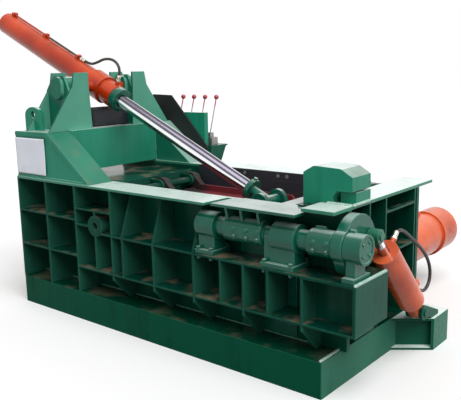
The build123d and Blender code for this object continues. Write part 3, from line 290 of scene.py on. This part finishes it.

# Rear tower base: plate work like the front one, with the sloping splash guard bolted
# to its back. The guard is near black against the green, which is painted shade for its
# shadowed face, and is scratched brown along its rim.
guard_face = 0.6095
guarded = Finish("rear_base_and_guard")
guard_mask = guarded.axis(guarded.place, "Y") > guard_face
guarded_patches = guarded.mottle(0.3, 4)
guarded_glare_mask = guarded.ease(guarded.axis(guarded.facing, "Z"), 0.5, 0.95)
guarded_green = guarded.blend(guarded_patches, (0.002, 0.110, 0.062), (0.016, 0.210, 0.130))
# Painted glare: the base's faces that look up are made paler.
guarded_green = guarded.blend(guarded_glare_mask * 0.6, guarded_green, (0.50, 0.66, 0.60))
# Painted shade: the guard's face is coloured near black.
guard_painted_shade = guarded.blend(guarded_patches, (0.006, 0.008, 0.009), (0.022, 0.026, 0.027))
guarded_rounded, guarded_rim = guarded.worn_edge(0.005)
guarded_colour = guarded.blend(guard_mask, guarded_green, guard_painted_shade)
rear_base_finish = guarded.shade(
    Base_Color=guarded.blend(guarded_rim * 0.4, guarded_colour, (0.16, 0.22, 0.18)),
    Roughness=0.26 + guard_mask * 0.25 + guarded_patches * 0.1,
    Specular_IOR_Level=0.3,
    Normal=guarded.surface(guarded_patches, 0.001, 0.3, guarded_rounded),
)
paint_nodes(["tower_base_rear"], rear_base_finish)

# Base skid and outrigger foot: welded from thick plate and painted last, in a much darker
# green that runs down the long side in thin streaks and is splashed near the ground. The
# darkness is partly the paint and partly painted shade of these low faces.
base_green = enamel(
    "base_green_enamel", (0.0004, 0.028, 0.014), (0.002, 0.078, 0.042), edge=(0.04, 0.22, 0.13),
    dust=0.3, gloss=0.22, runs=1.8, gleam=0.02, sunlight_share=0.3,
)
foot_green = enamel(
    "foot_green_enamel", (0.0006, 0.036, 0.020), (0.004, 0.080, 0.046), edge=(0.10, 0.34, 0.22),
    dust=0.1, glare_share=1.0, gloss=0.22, runs=1.8, gleam=0.05, sunlight_share=0.3,
)
paint_nodes(["base_plinth", "chamber_floor"], base_green)
paint_nodes(["outrigger_foot"], foot_green)


# Lid cylinder barrel: a honed steel tube with a domed cap, sprayed orange red. The paint
# is glossy, paler in patches on top, as chalking and painted highlight, with a few oily
# marks. The other cylinders are more orange, and paler still where they face up.
def barrel_paint(name, deep, fresh, glare_and_wear_tint, gloss=0.2):
    """Sprayed paint on a round barrel, paler where it faces up, as chalking and painted highlight."""
    paint = Finish(name)
    patches = paint.mottle(0.3, 4)
    marks = paint.ease(paint.mottle(0.06, 5), 0.62, 0.7)
    upward = paint.ease(paint.axis(paint.facing, "Z"), 0.35, 0.98)
    colour = paint.blend(paint.ease(patches, 0.3, 0.7), deep, fresh)
    # Painted highlight with chalking: patches of the upper side turn paler.
    colour = paint.blend(upward * patches * 0.35, colour, glare_and_wear_tint)
    colour = paint.blend(marks * 0.3, colour, (0.09, 0.045, 0.03))
    rounded, rim = paint.worn_edge(0.005)
    colour = paint.blend(rim * 0.4, colour, glare_and_wear_tint)
    return paint.shade(
        Base_Color=colour,
        Roughness=gloss + patches * 0.12 + marks * 0.2,
        Normal=paint.surface(paint.mottle(0.015, 2), 0.0006, 0.3, rounded),
        Specular_IOR_Level=0.25,
        Coat_Weight=0.25,
        Coat_Roughness=0.06,
    )


lid_barrel_red = barrel_paint(
    "lid_barrel_red", (0.40, 0.026, 0.002), (0.62, 0.052, 0.004), (0.80, 0.20, 0.08)
)
cylinder_orange = barrel_paint(
    "cylinder_orange", (0.52, 0.052, 0.008), (0.80, 0.115, 0.022), (0.92, 0.45, 0.28)
)
paint_nodes(["lid_barrel"], lid_barrel_red)
paint_nodes(["main_cylinder", "side_cylinder", "turnout_barrel"], cylinder_orange)

# Press lid: a thick welded plate with two ribs, in red oxide primer that the scrap
# scrapes. Grease and soot have blackened it beside its hinge.
oxide = Finish("red_oxide_primer")
oxide_patches = oxide.mottle(0.2, 5)
oxide_scrapes = oxide.ease(oxide.mottle(0.03, 6, (0.15, 1, 1)), 0.6, 0.72)
oxide_colour = oxide.blend(oxide_patches, (0.10, 0.008, 0.012), (0.20, 0.018, 0.026))
oxide_colour = oxide.blend(oxide_scrapes * 0.6, oxide_colour, (0.20, 0.13, 0.11))
hinge_side = 1 - oxide.ease(oxide.axis(oxide.place, "X") + oxide_patches * 0.12, -0.24, -0.10)
oxide_colour = oxide.blend(hinge_side * 0.9, oxide_colour, (0.010, 0.016, 0.015))
oxide_rounded, oxide_rim = oxide.worn_edge(0.006)
oxide_colour = oxide.blend(oxide_rim * 0.5, oxide_colour, (0.30, 0.16, 0.14))
red_oxide = oxide.shade(
    Base_Color=oxide_colour,
    Roughness=0.42 + oxide_patches * 0.2 - oxide_scrapes * 0.15,
    Metallic=oxide_scrapes * 0.4,
    Normal=oxide.surface(oxide_patches + oxide_scrapes * 0.4, 0.002, 0.3, oxide_rounded),
)
paint_nodes(["lid"], red_oxide)

# Liner plates: hard wear plates bolted inside the press box and the bale bay. They are
# blue black from rolling, polished in long scratches where the ram drags the scrap. The
# two rams are of the same steel.
liner = Finish("wear_plate_steel")
liner_patches = liner.mottle(0.25, 5)
liner_scratches = liner.ease(liner.mottle(0.02, 7, (0.05, 1, 1)), 0.58, 0.72)
liner_colour = liner.blend(liner_patches, (0.010, 0.012, 0.018), (0.026, 0.028, 0.038))
liner_colour = liner.blend(liner_scratches * 0.35, liner_colour, (0.16, 0.15, 0.15))
liner_rounded, liner_rim = liner.worn_edge(0.004)
liner_black = liner.shade(
    Base_Color=liner.blend(liner_rim * 0.5, liner_colour, (0.14, 0.14, 0.15)),
    Roughness=0.5 - liner_scratches * 0.18,
    Metallic=liner_scratches * 0.6,
    Normal=liner.surface(liner_scratches, 0.0008, 0.4, liner_rounded),
)
paint_nodes(["liner_plates", "side_ram", "main_ram"], liner_black)

# Liner bolts and valve block: plated steel, dull between the flats and bright where a
# spanner has turned it. The liner's bolts are screwed in from the inside of the box.
bolt = Finish("plated_bolt_steel")
bolt_patches = bolt.mottle(0.008, 3)
bolt_rounded, bolt_rim = bolt.worn_edge(0.0015)
bolt_steel = bolt.shade(
    Base_Color=bolt.blend(bolt_patches, (0.22, 0.22, 0.21), (0.42, 0.41, 0.40)),
    Roughness=0.36 + bolt_patches * 0.25 - bolt_rim * 0.15,
    Metallic=0.85,
    Normal=bolt.surface(bolt_patches, 0.0003, 0.4, bolt_rounded),
)
paint_nodes(["liner_bolts", "valve_block"], bolt_steel)

# Chrome: the lid rod is a ground steel rod, chromed hard, and ends in a green collar ahead
# of its eye. Fine grinding rings show along it, and dark lengthwise bands on one side are
# painted reflection.
trunnion = Vector((-1.05, 0, 1.58))
lid_eye = Vector((0.524, 0, 0.861))
lid_axis = (lid_eye - trunnion).normalized()
lid_up = lid_axis.cross(Vector((0, 1, 0)))
lid_reach = (lid_eye - trunnion).length
collar_start = lid_reach - 0.166


def chromed(name, direction, reflection_side, origin, painted_from, painted_to):
    """Hard chrome, with dark bands of painted reflection on one side, and green between two stations of
    its axis.
    """
    rod = Finish(name)
    station = rod.along(rod.place, tuple(direction)) - origin.dot(direction)
    rings = rod.node(
        "ShaderNodeTexNoise", {"noise_dimensions": "1D"}, {"W": station, "Scale": 240.0}, out="Fac"
    )
    # Painted reflection: dark and bright bands along the rod, set by how far the surface faces the
    # banded side.
    height = rod.along(rod.facing, tuple(reflection_side)) + (rod.mottle(0.12, 3, (0.2, 1, 1)) - 0.5) * 0.12
    reflection_bands = rod.ease(height, -0.10, -0.02) * (1 - rod.ease(height, 0.86, 0.93))
    reflection_bands = reflection_bands + rod.ease(-1 * height, 0.52, 0.60) * 0.7
    under_paint = (station > painted_from) * (station < painted_to)
    metal = rod.blend(reflection_bands, (0.92, 0.93, 0.95), (0.13, 0.12, 0.15))
    paint = rod.blend(rod.mottle(0.1, 4), (0.004, 0.10, 0.055), (0.02, 0.18, 0.11))
    rounded, rim = rod.worn_edge(0.004)
    paint = rod.blend(rim * 0.5, paint, (0.22, 0.44, 0.34))
    return rod.shade(
        Base_Color=rod.blend(under_paint, metal, paint),
        Metallic=1 - under_paint,
        Roughness=0.10 + reflection_bands * 0.10 + under_paint * 0.16,
        Normal=rod.surface(rings, 0.0001, 0.25, rounded),
    )


lid_reflection_side = Vector((0.368, 0.466, 0.805))
lid_rod_chrome = chromed(
    "lid_rod_chrome", lid_axis, lid_reflection_side, trunnion, collar_start, painted_to=lid_reach + 0.2
)
paint_nodes(["lid_rod"], lid_rod_chrome)
paint_nodes(["lid_gland", "lid_rod_eye", "lid_ears"], shaft_green)

# Turn-out rod: the same hard chrome, with a green eye beside the lobed end cap. Its barrel
# stands on a pin in the foot bracket.
arm_pin = Vector((1.435, -0.32, 0.833))
foot_pin = Vector((1.435, 0.225, 0.262))
turn_axis = (foot_pin - arm_pin).normalized()
turn_up = Vector((0, -turn_axis.z, turn_axis.y))
turnout_chrome = chromed("turnout_rod_chrome", turn_axis, turn_up, arm_pin, -0.1, painted_to=0.045)
paint_nodes(["turnout_rod"], turnout_chrome)

# Scoop: the bent plate of the turn-out arm that lifts the bale, scraped to bare steel
# on the face the bale slides over.
scoop = Finish("scraped_scoop_plate")
scoop_patches = scoop.mottle(0.15, 5)
scoop_bare = scoop.ease(scoop.mottle(0.09, 6), 0.42, 0.6) * scoop.ease(
    scoop.axis(scoop.facing, "Z"), 0.4, 0.9
)
scoop_colour = scoop.blend(scoop_patches, (0.010, 0.12, 0.07), (0.04, 0.22, 0.14))
scoop_rounded, scoop_rim = scoop.worn_edge(0.005)
scoop_colour = scoop.blend(scoop_bare * 0.7, scoop_colour, (0.42, 0.44, 0.42))
scoop_finish = scoop.shade(
    Base_Color=scoop.blend(scoop_rim * 0.5, scoop_colour, (0.3, 0.48, 0.4)),
    Roughness=0.3 + scoop_patches * 0.15,
    Metallic=scoop_bare * 0.4,
    Normal=scoop.surface(scoop_patches, 0.001, 0.3, scoop_rounded),
    Coat_Weight=0.3,
)
paint_nodes(["turnout_scoop"], scoop_finish)

# Steel pipe on the lid cylinder: drawn tube, painted black between the port and the last
# clamp and worn through to brown. Its ends and clamps are sprayed with the barrel.
pipe_line = 0.105
black_from = -0.70
black_to = 0.05
tube_squared = 0.000065
clamp_squared = 0.000075
pipe = Finish("black_pipe_paint")
pipe_patches = pipe.mottle(0.05, 5)
pipe_worn = pipe.ease(pipe_patches, 0.52, 0.66)
pipe_rounded, pipe_rim = pipe.worn_edge(0.003)
pipe_station = pipe.along(pipe.place, tuple(lid_axis)) - trunnion.dot(lid_axis)
pipe_height = pipe.along(pipe.place, tuple(lid_up)) - trunnion.dot(lid_up)
beside_pipe = pipe.axis(pipe.place, "Y")
off_line_squared = (pipe_height - pipe_line) ** 2 + beside_pipe * beside_pipe
sprayed = pipe.ease(off_line_squared, tube_squared, clamp_squared)
sprayed = sprayed + (pipe_station < black_from) + (pipe_station > black_to)
pipe_colour = pipe.blend(pipe_worn * 0.7, (0.035, 0.016, 0.012), (0.20, 0.075, 0.035))
pipe_black = pipe.shade(
    Base_Color=pipe.blend(sprayed > 0.5, pipe_colour, (0.50, 0.042, 0.004)),
    Roughness=0.38 + pipe_patches * 0.2,
    Metallic=pipe_rim * 0.5,
    Normal=pipe.surface(pipe_patches, 0.0005, 0.3, pipe_rounded),
)
paint_nodes(["lid_pipe"], pipe_black)

# Control levers: thin plated rods in slotted caps, each with a moulded crimson ball.
# The ball is glossy plastic, and the rod is pinkish with old red paint near its top.
knob_bottom = 1.43
lever = Finish("lever_rod_and_knob")
lever_height = lever.axis(lever.place, "Z")
knob_mask = lever_height > knob_bottom
lever_patches = lever.mottle(0.02, 4)
red_band = lever.ease(lever_height + lever_patches * 0.06, knob_bottom - 0.03, knob_bottom + 0.01)
red_band = red_band * (1 - knob_mask)
rod_colour = lever.blend(red_band, (0.38, 0.37, 0.37), (0.45, 0.05, 0.06))
knob_colour = lever.blend(lever_patches, (0.36, 0.010, 0.030), (0.50, 0.030, 0.055))
lever_finish = lever.shade(
    Base_Color=lever.blend(knob_mask, rod_colour, knob_colour),
    Metallic=(1 - knob_mask) * (1 - red_band) * 0.8,
    Roughness=0.34 - knob_mask * 0.18 + lever_patches * 0.1,
    Normal=lever.surface(lever_patches, 0.0003, 0.2),
    Coat_Weight=knob_mask * 0.6,
)
paint_nodes(["lever_1", "lever_2", "lever_3", "lever_4"], lever_finish)


# Lid hose: a steel-braided rubber hose that loops from the port at the rod end back to
# the pipe along the barrel. Its rubber cover is black, dusty and slightly ribbed.
rubber = Finish("hose_rubber")
rubber_patches = rubber.mottle(0.03, 4)
rubber_black = rubber.shade(
    Base_Color=rubber.blend(rubber_patches, (0.012, 0.012, 0.013), (0.045, 0.040, 0.036)),
    Roughness=0.34 + rubber_patches * 0.25,
    Normal=rubber.surface(rubber.mottle(0.003, 2), 0.0004, 0.4),
)
hose_radius = 0.010


def lay_hose(name, route, body):
    """A hose on one smooth line through its listed points."""
    line = bpy.data.curves.new(name, "CURVE")
    line.dimensions = "3D"
    line.bevel_depth = hose_radius
    line.bevel_resolution = 6
    line.resolution_u = 24
    line.use_fill_caps = True
    spline = line.splines.new("NURBS")
    spline.points.add(len(route) - 1)
    for point, place in zip(spline.points, route):
        point.co = (*place, 1)
    spline.order_u = 3
    spline.use_endpoint_u = True
    hose = bpy.data.objects.new(name, line)
    bpy.context.scene.collection.objects.link(hose)
    line.materials.append(rubber_black)
    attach(hose, body)
    return hose


lid_hose_route = [
    trunnion + lid_axis * along + lid_up * up
    for along, up in [
        (0.166, 0.118), (0.166, 0.178), (0.136, 0.228), (0.066, 0.246),
        (-0.028, 0.214), (-0.104, 0.146), (-0.172, pipe_line), (-0.268, pipe_line),
    ]
]
lid_loop = lay_hose("lid_hose_loop", lid_hose_route, "lid_barrel")
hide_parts("lid_hose")

# Turn-out hose: the same hose from the rod end's port round to the elbow at the bottom
# of the barrel. It bows out behind the slanted cylinder.
turnout_hose_route = [
    arm_pin + turn_axis * along + turn_up * up
    for along, up in [
        (0.188, 0.112), (0.188, 0.168), (0.250, 0.212), (0.440, 0.262), (0.610, 0.298),
        (0.735, 0.288), (0.806, 0.230), (0.798, 0.152), (0.734, 0.104), (0.662, 0.104),
    ]
]
turnout_loop = lay_hose("turnout_hose_loop", turnout_hose_route, "turnout_barrel")
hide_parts("turnout_hose")

# Hose ends: each hose is crimped into a plated ferrule with a swivel nut. They are
# turned and milled steel, screwed to the port or the pipe.
plated = Finish("plated_hose_end")
plated_patches = plated.mottle(0.01, 3)
plated_rounded, _ = plated.worn_edge(0.001)
plated_steel = plated.shade(
    Base_Color=plated.blend(plated_patches, (0.62, 0.58, 0.46), (0.80, 0.77, 0.70)),
    Roughness=0.2 + plated_patches * 0.2,
    Metallic=1.0,
    Normal=plated.surface(plated_patches, 0.0002, 0.3, plated_rounded),
)


def choose_only(piece):
    """Leaves one piece selected and active."""
    bpy.ops.object.select_all(action="DESELECT")
    piece.select_set(True)
    bpy.context.view_layer.objects.active = piece


def settle(piece, name, finish, body):
    """Puts a piece's place into its mesh and gives it a name, a finish and a body."""
    choose_only(piece)
    bpy.ops.object.transform_apply(location=True, rotation=True, scale=True)
    piece.name = name
    piece.data.name = name
    piece.data.materials.clear()
    piece.data.materials.append(finish)
    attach(piece, body)
    return piece


def weld_together(parts):
    """Joins several meshes into the first one."""
    bpy.ops.object.select_all(action="DESELECT")
    for part in parts:
        part.select_set(True)
    bpy.context.view_layer.objects.active = parts[0]
    bpy.ops.object.join()
    return parts[0]


def step_out(piece, shoulder, height, direction):
    """Insets the face that looks along direction and draws it out by height."""
    choose_only(piece)
    bpy.ops.object.mode_set(mode="EDIT")
    bpy.ops.mesh.select_mode(type="FACE")
    bpy.ops.mesh.select_all(action="DESELECT")
    bpy.ops.object.mode_set(mode="OBJECT")
    for face in piece.data.polygons:
        face.select = face.normal.dot(direction) > 0.9
    bpy.ops.object.mode_set(mode="EDIT")
    bpy.ops.mesh.inset(thickness=shoulder)
    bpy.ops.mesh.extrude_region_move(TRANSFORM_OT_translate={"value": direction * height})
    bpy.ops.object.mode_set(mode="OBJECT")


def soften(piece, width, segments=2):
    """Breaks a piece's sharp edges."""
    choose_only(piece)
    bevel = piece.modifiers.new("edge_break", "BEVEL")
    bevel.width = width
    bevel.segments = segments
    bevel.limit_method = "ANGLE"
    bpy.ops.object.modifier_apply(modifier=bevel.name)
    bpy.ops.object.shade_smooth_by_angle(angle=math.radians(35))


nut_radius = 0.017
nut_length = 0.018
ferrule_radius = 0.0145
ferrule_length = 0.026
end_lift = 0.004


def stand(piece, place, direction):
    """Puts a piece that was made on Z at its place, with Z along direction."""
    choose_only(piece)
    bpy.ops.object.transform_apply(location=True, rotation=True, scale=True)
    piece.matrix_world = (
        Matrix.Translation(place) @ direction.to_track_quat("Z", "Y").to_matrix().to_4x4()
    )
    bpy.ops.object.transform_apply(location=True, rotation=True, scale=True)


def hose_end(place, direction):
    """A swivel nut with its crimped ferrule, looking along direction."""
    bpy.ops.object.select_all(action="DESELECT")
    bpy.ops.mesh.primitive_cylinder_add(vertices=6, radius=nut_radius, depth=nut_length)
    nut = bpy.context.active_object
    step_out(nut, 0.0045, 0.034, Vector((0, 0, 1)))
    soften(nut, 0.0012)
    bpy.ops.object.select_all(action="DESELECT")
    bpy.ops.mesh.primitive_cylinder_add(
        vertices=24, radius=ferrule_radius, depth=ferrule_length, location=(0, 0, ferrule_length)
    )
    ferrule = bpy.context.active_object
    step_out(ferrule, 0.0015, 0.004, Vector((0, 0, 1)))
    soften(ferrule, 0.0012)
    whole = weld_together([nut, ferrule])
    stand(whole, place, direction)
    return whole


lid_ends = [
    hose_end(lid_hose_route[0] + lid_up * end_lift, lid_up),
    hose_end(lid_hose_route[-1] - lid_axis * end_lift, lid_axis),
]
settle(weld_together(lid_ends), "lid_hose_ends", plated_steel, "lid_barrel")
turnout_ends = [
    hose_end(turnout_hose_route[0] + turn_up * end_lift, turn_up),
    hose_end(turnout_hose_route[-1] - turn_axis * end_lift, turn_axis),
]
settle(weld_together(turnout_ends), "turnout_hose_ends", plated_steel, "turnout_barrel")

# Lid rod and gland: the ground and chromed rod is more than half the barrel's width, and
# the green gland that guides it is screwed in flush with the barrel. The piston is
# turned on the rod's inner end.
rod_radius = 0.046
rod_clearance = 0.0006
piston_radius = 0.0735
gland_radius = 0.088
gland_start = 0.198
gland_length = 0.060
piston_start = 0.118
piston_length = 0.060
rod_end = lid_reach - 0.164

bpy.ops.object.select_all(action="DESELECT")
bpy.ops.mesh.primitive_cylinder_add(
    vertices=96, radius=piston_radius, depth=piston_length, location=(0, 0, piston_length / 2)
)
thick_rod = bpy.context.active_object
step_out(
    thick_rod, piston_radius - rod_radius, rod_end - piston_start - piston_length, Vector((0, 0, 1))
)
soften(thick_rod, 0.0015)
stand(thick_rod, trunnion + lid_axis * piston_start, lid_axis)
settle(thick_rod, "lid_rod_and_piston", lid_rod_chrome, "lid_rod")
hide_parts("lid_rod")

bpy.ops.object.select_all(action="DESELECT")
bpy.ops.mesh.primitive_cylinder_add(
    vertices=96, radius=gland_radius, depth=gland_length, location=(0, 0, gland_length / 2)
)
gland = bpy.context.active_object
bore = gland.modifiers.new("bore", "BOOLEAN")
bpy.ops.object.select_all(action="DESELECT")
bpy.ops.mesh.primitive_cylinder_add(vertices=96, radius=rod_radius + rod_clearance, depth=0.3)
drill = bpy.context.active_object
choose_only(gland)
bore.object = drill
bpy.ops.object.modifier_apply(modifier=bore.name)
bpy.data.objects.remove(drill)
soften(gland, 0.006, 3)
stand(gland, trunnion + lid_axis * gland_start, lid_axis)
settle(gland, "flush_gland", shaft_green, "lid_barrel")
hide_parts("lid_gland")

# Notice sheet: a blank white card glued to the front of the tower base. It has lifted a
# little in waves, and its upper corner curls.
notice_low = Vector((-1.292, -0.6115, 0.982))
notice_size = (0.340, 0.256)
card_gap = 0.0018
card_thickness = 0.0008
bpy.ops.object.select_all(action="DESELECT")
bpy.ops.mesh.primitive_grid_add(x_subdivisions=34, y_subdivisions=26, size=1)
notice = bpy.context.active_object
for vertex in notice.data.vertices:
    across = vertex.co.x + 0.5
    height = vertex.co.y + 0.5
    wave = 0.0009 * math.sin(9 * across + 2 * height) + 0.0007 * math.sin(7 * height + 1)
    curl = 0.004 * max(0, across + height - 1.75) ** 2 * 8
    vertex.co = (
        notice_low.x + across * notice_size[0],
        notice_low.y - card_gap - wave - curl,
        notice_low.z + height * notice_size[1],
    )
choose_only(notice)
bpy.ops.object.mode_set(mode="EDIT")
bpy.ops.mesh.select_all(action="SELECT")
bpy.ops.mesh.flip_normals()
bpy.ops.object.mode_set(mode="OBJECT")
card_wall = notice.modifiers.new("card", "SOLIDIFY")
card_wall.thickness = card_thickness
bpy.ops.object.modifier_apply(modifier=card_wall.name)
bpy.ops.object.shade_smooth()
card = Finish("blank_card")
card_grain = card.mottle(0.004, 3)
card_stain = card.ease(card.mottle(0.12, 5), 0.55, 0.75)
card_white = card.shade(
    Base_Color=card.blend(card_stain * 0.5, (0.84, 0.87, 0.95), (0.70, 0.72, 0.78)),
    Roughness=0.55 + card_grain * 0.1,
    Normal=card.surface(card_grain, 0.0002, 0.2),
)
settle(notice, "notice_card", card_white, "frame")

# Weld beads: the frame is arc welded by hand, and its fillet welds are painted over.
# Each seam is a row of overlapping scales along one inside corner.
weld = Finish("painted_weld")
weld_patches = weld.mottle(0.03, 4)
weld_burnt = weld.ease(weld.mottle(0.05, 5), 0.55, 0.68)
weld_colour = weld.blend(weld_patches, (0.010, 0.13, 0.08), (0.06, 0.26, 0.18))
weld_finish = weld.shade(
    Base_Color=weld.blend(weld_burnt * 0.55, weld_colour, (0.20, 0.19, 0.15)),
    Roughness=0.34 + weld_patches * 0.2,
    Normal=weld.surface(weld.mottle(0.004, 3), 0.0008, 0.5),
    Coat_Weight=0.3,
)


scale_shape = (0.62, 0.62, 0.8, 1)
unevenness = 0.0008


def bead_row(start, end, width=0.011, pitch=0.009):
    """A row of weld scales from one point to another."""
    run = end - start
    count = max(2, int(run.length / pitch))
    bpy.ops.object.select_all(action="DESELECT")
    bpy.ops.mesh.primitive_uv_sphere_add(segments=8, ring_count=5, radius=width)
    row = bpy.context.active_object
    row.matrix_world = (
        Matrix.Translation(start)
        @ run.to_track_quat("Z", "Y").to_matrix().to_4x4()
        @ Matrix.Diagonal(scale_shape)
    )
    choose_only(row)
    bpy.ops.object.transform_apply(location=True, rotation=True, scale=True)
    array = row.modifiers.new("scales", "ARRAY")
    array.count = count
    array.use_relative_offset = False
    array.use_constant_offset = True
    array.constant_offset_displace = run / count
    bpy.ops.object.modifier_apply(modifier=array.name)
    for vertex in row.data.vertices:
        vertex.co += Vector([random.uniform(-unevenness, unevenness) for _ in range(3)])
    bpy.ops.object.shade_smooth()
    return row


flange_top = 0.955
ledge_top = 1.283
skid_top = 0.205
seams = [
    # tower base to the front flange
    (Vector((-1.295, -0.610, flange_top)), Vector((-0.50, -0.610, flange_top))),
    # lifting lug and front tower to the ledge
    (Vector((-1.196, -0.582, ledge_top)), Vector((-1.196, -0.30, ledge_top))),
    (Vector((-0.925, -0.582, ledge_top)), Vector((-0.925, -0.42, ledge_top))),
    # cross beam to the tower bases
    (Vector((-0.900, -0.410, 0.990)), Vector((-0.900, -0.410, ledge_top))),
    (Vector((-0.900, 0.410, 0.990)), Vector((-0.900, 0.410, ledge_top))),
    # ribs to the base skid
    (Vector((-1.29, -0.43, skid_top)), Vector((1.15, -0.43, skid_top))),
]
rows = [bead_row(start, end) for start, end in seams]
settle(weld_together(rows), "frame_welds", weld_finish, "frame")

# Corner welds: wider beads on the outer corners, paler than the plates that they join.
# The pale paint is a painted highlight along these corners.
pedestal_low, pedestal_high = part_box("pedestal")
lock_low, lock_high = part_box("lock_head")
pedestal_edge = pedestal_high.x - 0.006
pedestal_line = pedestal_high.z + 0.001
lock_step = lock_low.x + 0.16
roof_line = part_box("roof_plate")[1].z + 0.001
corner_seams = [
    # top edge of the pedestal
    (
        Vector((pedestal_edge, pedestal_low.y + 0.01, pedestal_line)),
        Vector((pedestal_edge, pedestal_high.y - 0.01, pedestal_line)),
    ),
    # corner of the base skid
    (Vector((1.285, -0.60, 0.204)), Vector((1.285, -0.36, 0.204))),
    # lock head to the roof plate, at its end and along its front
    (
        Vector((lock_high.x + 0.004, lock_low.y + 0.01, roof_line)),
        Vector((lock_high.x + 0.004, lock_high.y - 0.01, roof_line)),
    ),
    (
        Vector((lock_step, lock_low.y - 0.004, roof_line)),
        Vector((lock_high.x, lock_low.y - 0.004, roof_line)),
    ),
]
# The pale weld colour is painted highlight.
highlit_weld = Finish("highlit_weld_paint")
highlit_patches = highlit_weld.mottle(0.02, 4)
highlit_weld_finish = highlit_weld.shade(
    Base_Color=highlit_weld.blend(highlit_patches, (0.10, 0.34, 0.24), (0.62, 0.74, 0.68)),
    Roughness=0.3 + highlit_patches * 0.2,
    Normal=highlit_weld.surface(highlit_weld.mottle(0.004, 3), 0.0008, 0.5),
    Coat_Weight=0.4,
)
rows = [bead_row(start, end, width=0.016, pitch=0.012) for start, end in corner_seams]
settle(weld_together(rows), "corner_welds", highlit_weld_finish, "frame")

# Valve hoses: three short oil hoses that rise from the end of the valve block and dive
# behind the sloping guard. They are the same rubber hose as on the cylinders.
valve_end = Vector((-1.0, 0.712, 1.125))
first_run = 0.05
valve_hose_forms = [(-0.022, 0.075, 0.10, 0.281), (0.0, 0.10, 0.135, 0.350), (0.022, 0.06, 0.075, 0.268)]
for number, (across, rise, reach, length) in enumerate(valve_hose_forms, start=1):
    start = valve_end + Vector((0, across, 0))
    valve_route = [
        start,
        start + Vector((-first_run, 0, 0.004)),
        start + Vector((-first_run - reach * 0.6, -0.004, rise * 0.7)),
        start + Vector((-first_run - reach, -0.03, rise)),
        start + Vector((-first_run - reach - 0.02, -0.060 - across, rise * 0.5)),
        start + Vector((-first_run - reach - 0.022, -0.0815 - across, -0.03)),
    ]
    valve_hose = lay_hose(f"valve_hose_{number}", valve_route, "frame")

# Manifold box behind the cross beam: a folded sheet-steel box that covers the oil
# manifold, dull black, with a raised cover on its face and another on its top.
box_low = Vector((-1.075, -0.14, ledge_top))
box_size = Vector((0.085, 0.34, 0.135))
bpy.ops.object.select_all(action="DESELECT")
bpy.ops.mesh.primitive_cube_add(size=1, location=box_low + box_size / 2)
manifold_box = bpy.context.active_object
manifold_box.scale = box_size
choose_only(manifold_box)
bpy.ops.object.transform_apply(location=True, rotation=True, scale=True)
step_out(manifold_box, 0.010, 0.006, Vector((1, 0, 0)))
step_out(manifold_box, 0.008, 0.010, Vector((0, 0, 1)))
soften(manifold_box, 0.004)
settle(manifold_box, "manifold_box", liner_black, "frame")

# Studio: a pale floor and a plain white surround. One broad soft lamp stands high over
# the camera's side and the surround fills the rest.
bpy.ops.object.select_all(action="DESELECT")
bpy.ops.mesh.primitive_plane_add(size=80)
floor = bpy.context.active_object
floor.name = "studio_floor"
floor_finish = Finish("studio_floor")
seen = (
    floor_finish.node("ShaderNodeLightPath", out="Is Camera Ray")
    + floor_finish.node("ShaderNodeLightPath", out="Is Glossy Ray")
    + floor_finish.node("ShaderNodeLightPath", out="Is Transmission Ray")
)
lit_grey = (0.30, 0.30, 0.30)
seen_grey = (0.93, 0.93, 0.93)
floor_shade = floor_finish.node(
    "ShaderNodeBsdfPrincipled",
    {},
    {
        "Base Color": floor_finish.blend(seen, lit_grey, seen_grey),
        "Roughness": 0.85,
        "Specular IOR Level": 0.1,
    },
    out="BSDF",
)
floor_finish.node("ShaderNodeOutputMaterial", {}, {"Surface": floor_shade})
floor.data.materials.append(floor_finish.material)

world = bpy.data.worlds.new("studio_surround")
bpy.context.scene.world = world
world.use_nodes = True
sky = world.node_tree
sky.nodes.clear()
path = sky.nodes.new("ShaderNodeLightPath")
brightest = sky.nodes.new("ShaderNodeMath")
brightest.operation = "MAXIMUM"
sky.links.new(path.outputs["Is Camera Ray"], brightest.inputs[0])
sky.links.new(path.outputs["Is Glossy Ray"], brightest.inputs[1])
also = sky.nodes.new("ShaderNodeMath")
also.operation = "MAXIMUM"
sky.links.new(brightest.outputs[0], also.inputs[0])
sky.links.new(path.outputs["Is Transmission Ray"], also.inputs[1])
strength = sky.nodes.new("ShaderNodeMapRange")
strength.inputs["To Min"].default_value = 0.45
strength.inputs["To Max"].default_value = 1.0
sky.links.new(also.outputs[0], strength.inputs["Value"])
background = sky.nodes.new("ShaderNodeBackground")
background.inputs["Color"].default_value = (1, 1, 1, 1)
sky.links.new(strength.outputs["Result"], background.inputs["Strength"])
surround = sky.nodes.new("ShaderNodeOutputWorld")
sky.links.new(background.outputs["Background"], surround.inputs["Surface"])

lamp_data = bpy.data.lights.new("soft_overhead", "SUN")
lamp_data.energy = 2.7
lamp_data.angle = math.radians(50)
lamp = bpy.data.objects.new("soft_overhead", lamp_data)
bpy.context.scene.collection.objects.link(lamp)
lamp.rotation_euler = Vector((0.50, -0.26, 0.83)).to_track_quat("Z", "Y").to_euler()

bpy.context.scene.view_settings.view_transform = "Standard"
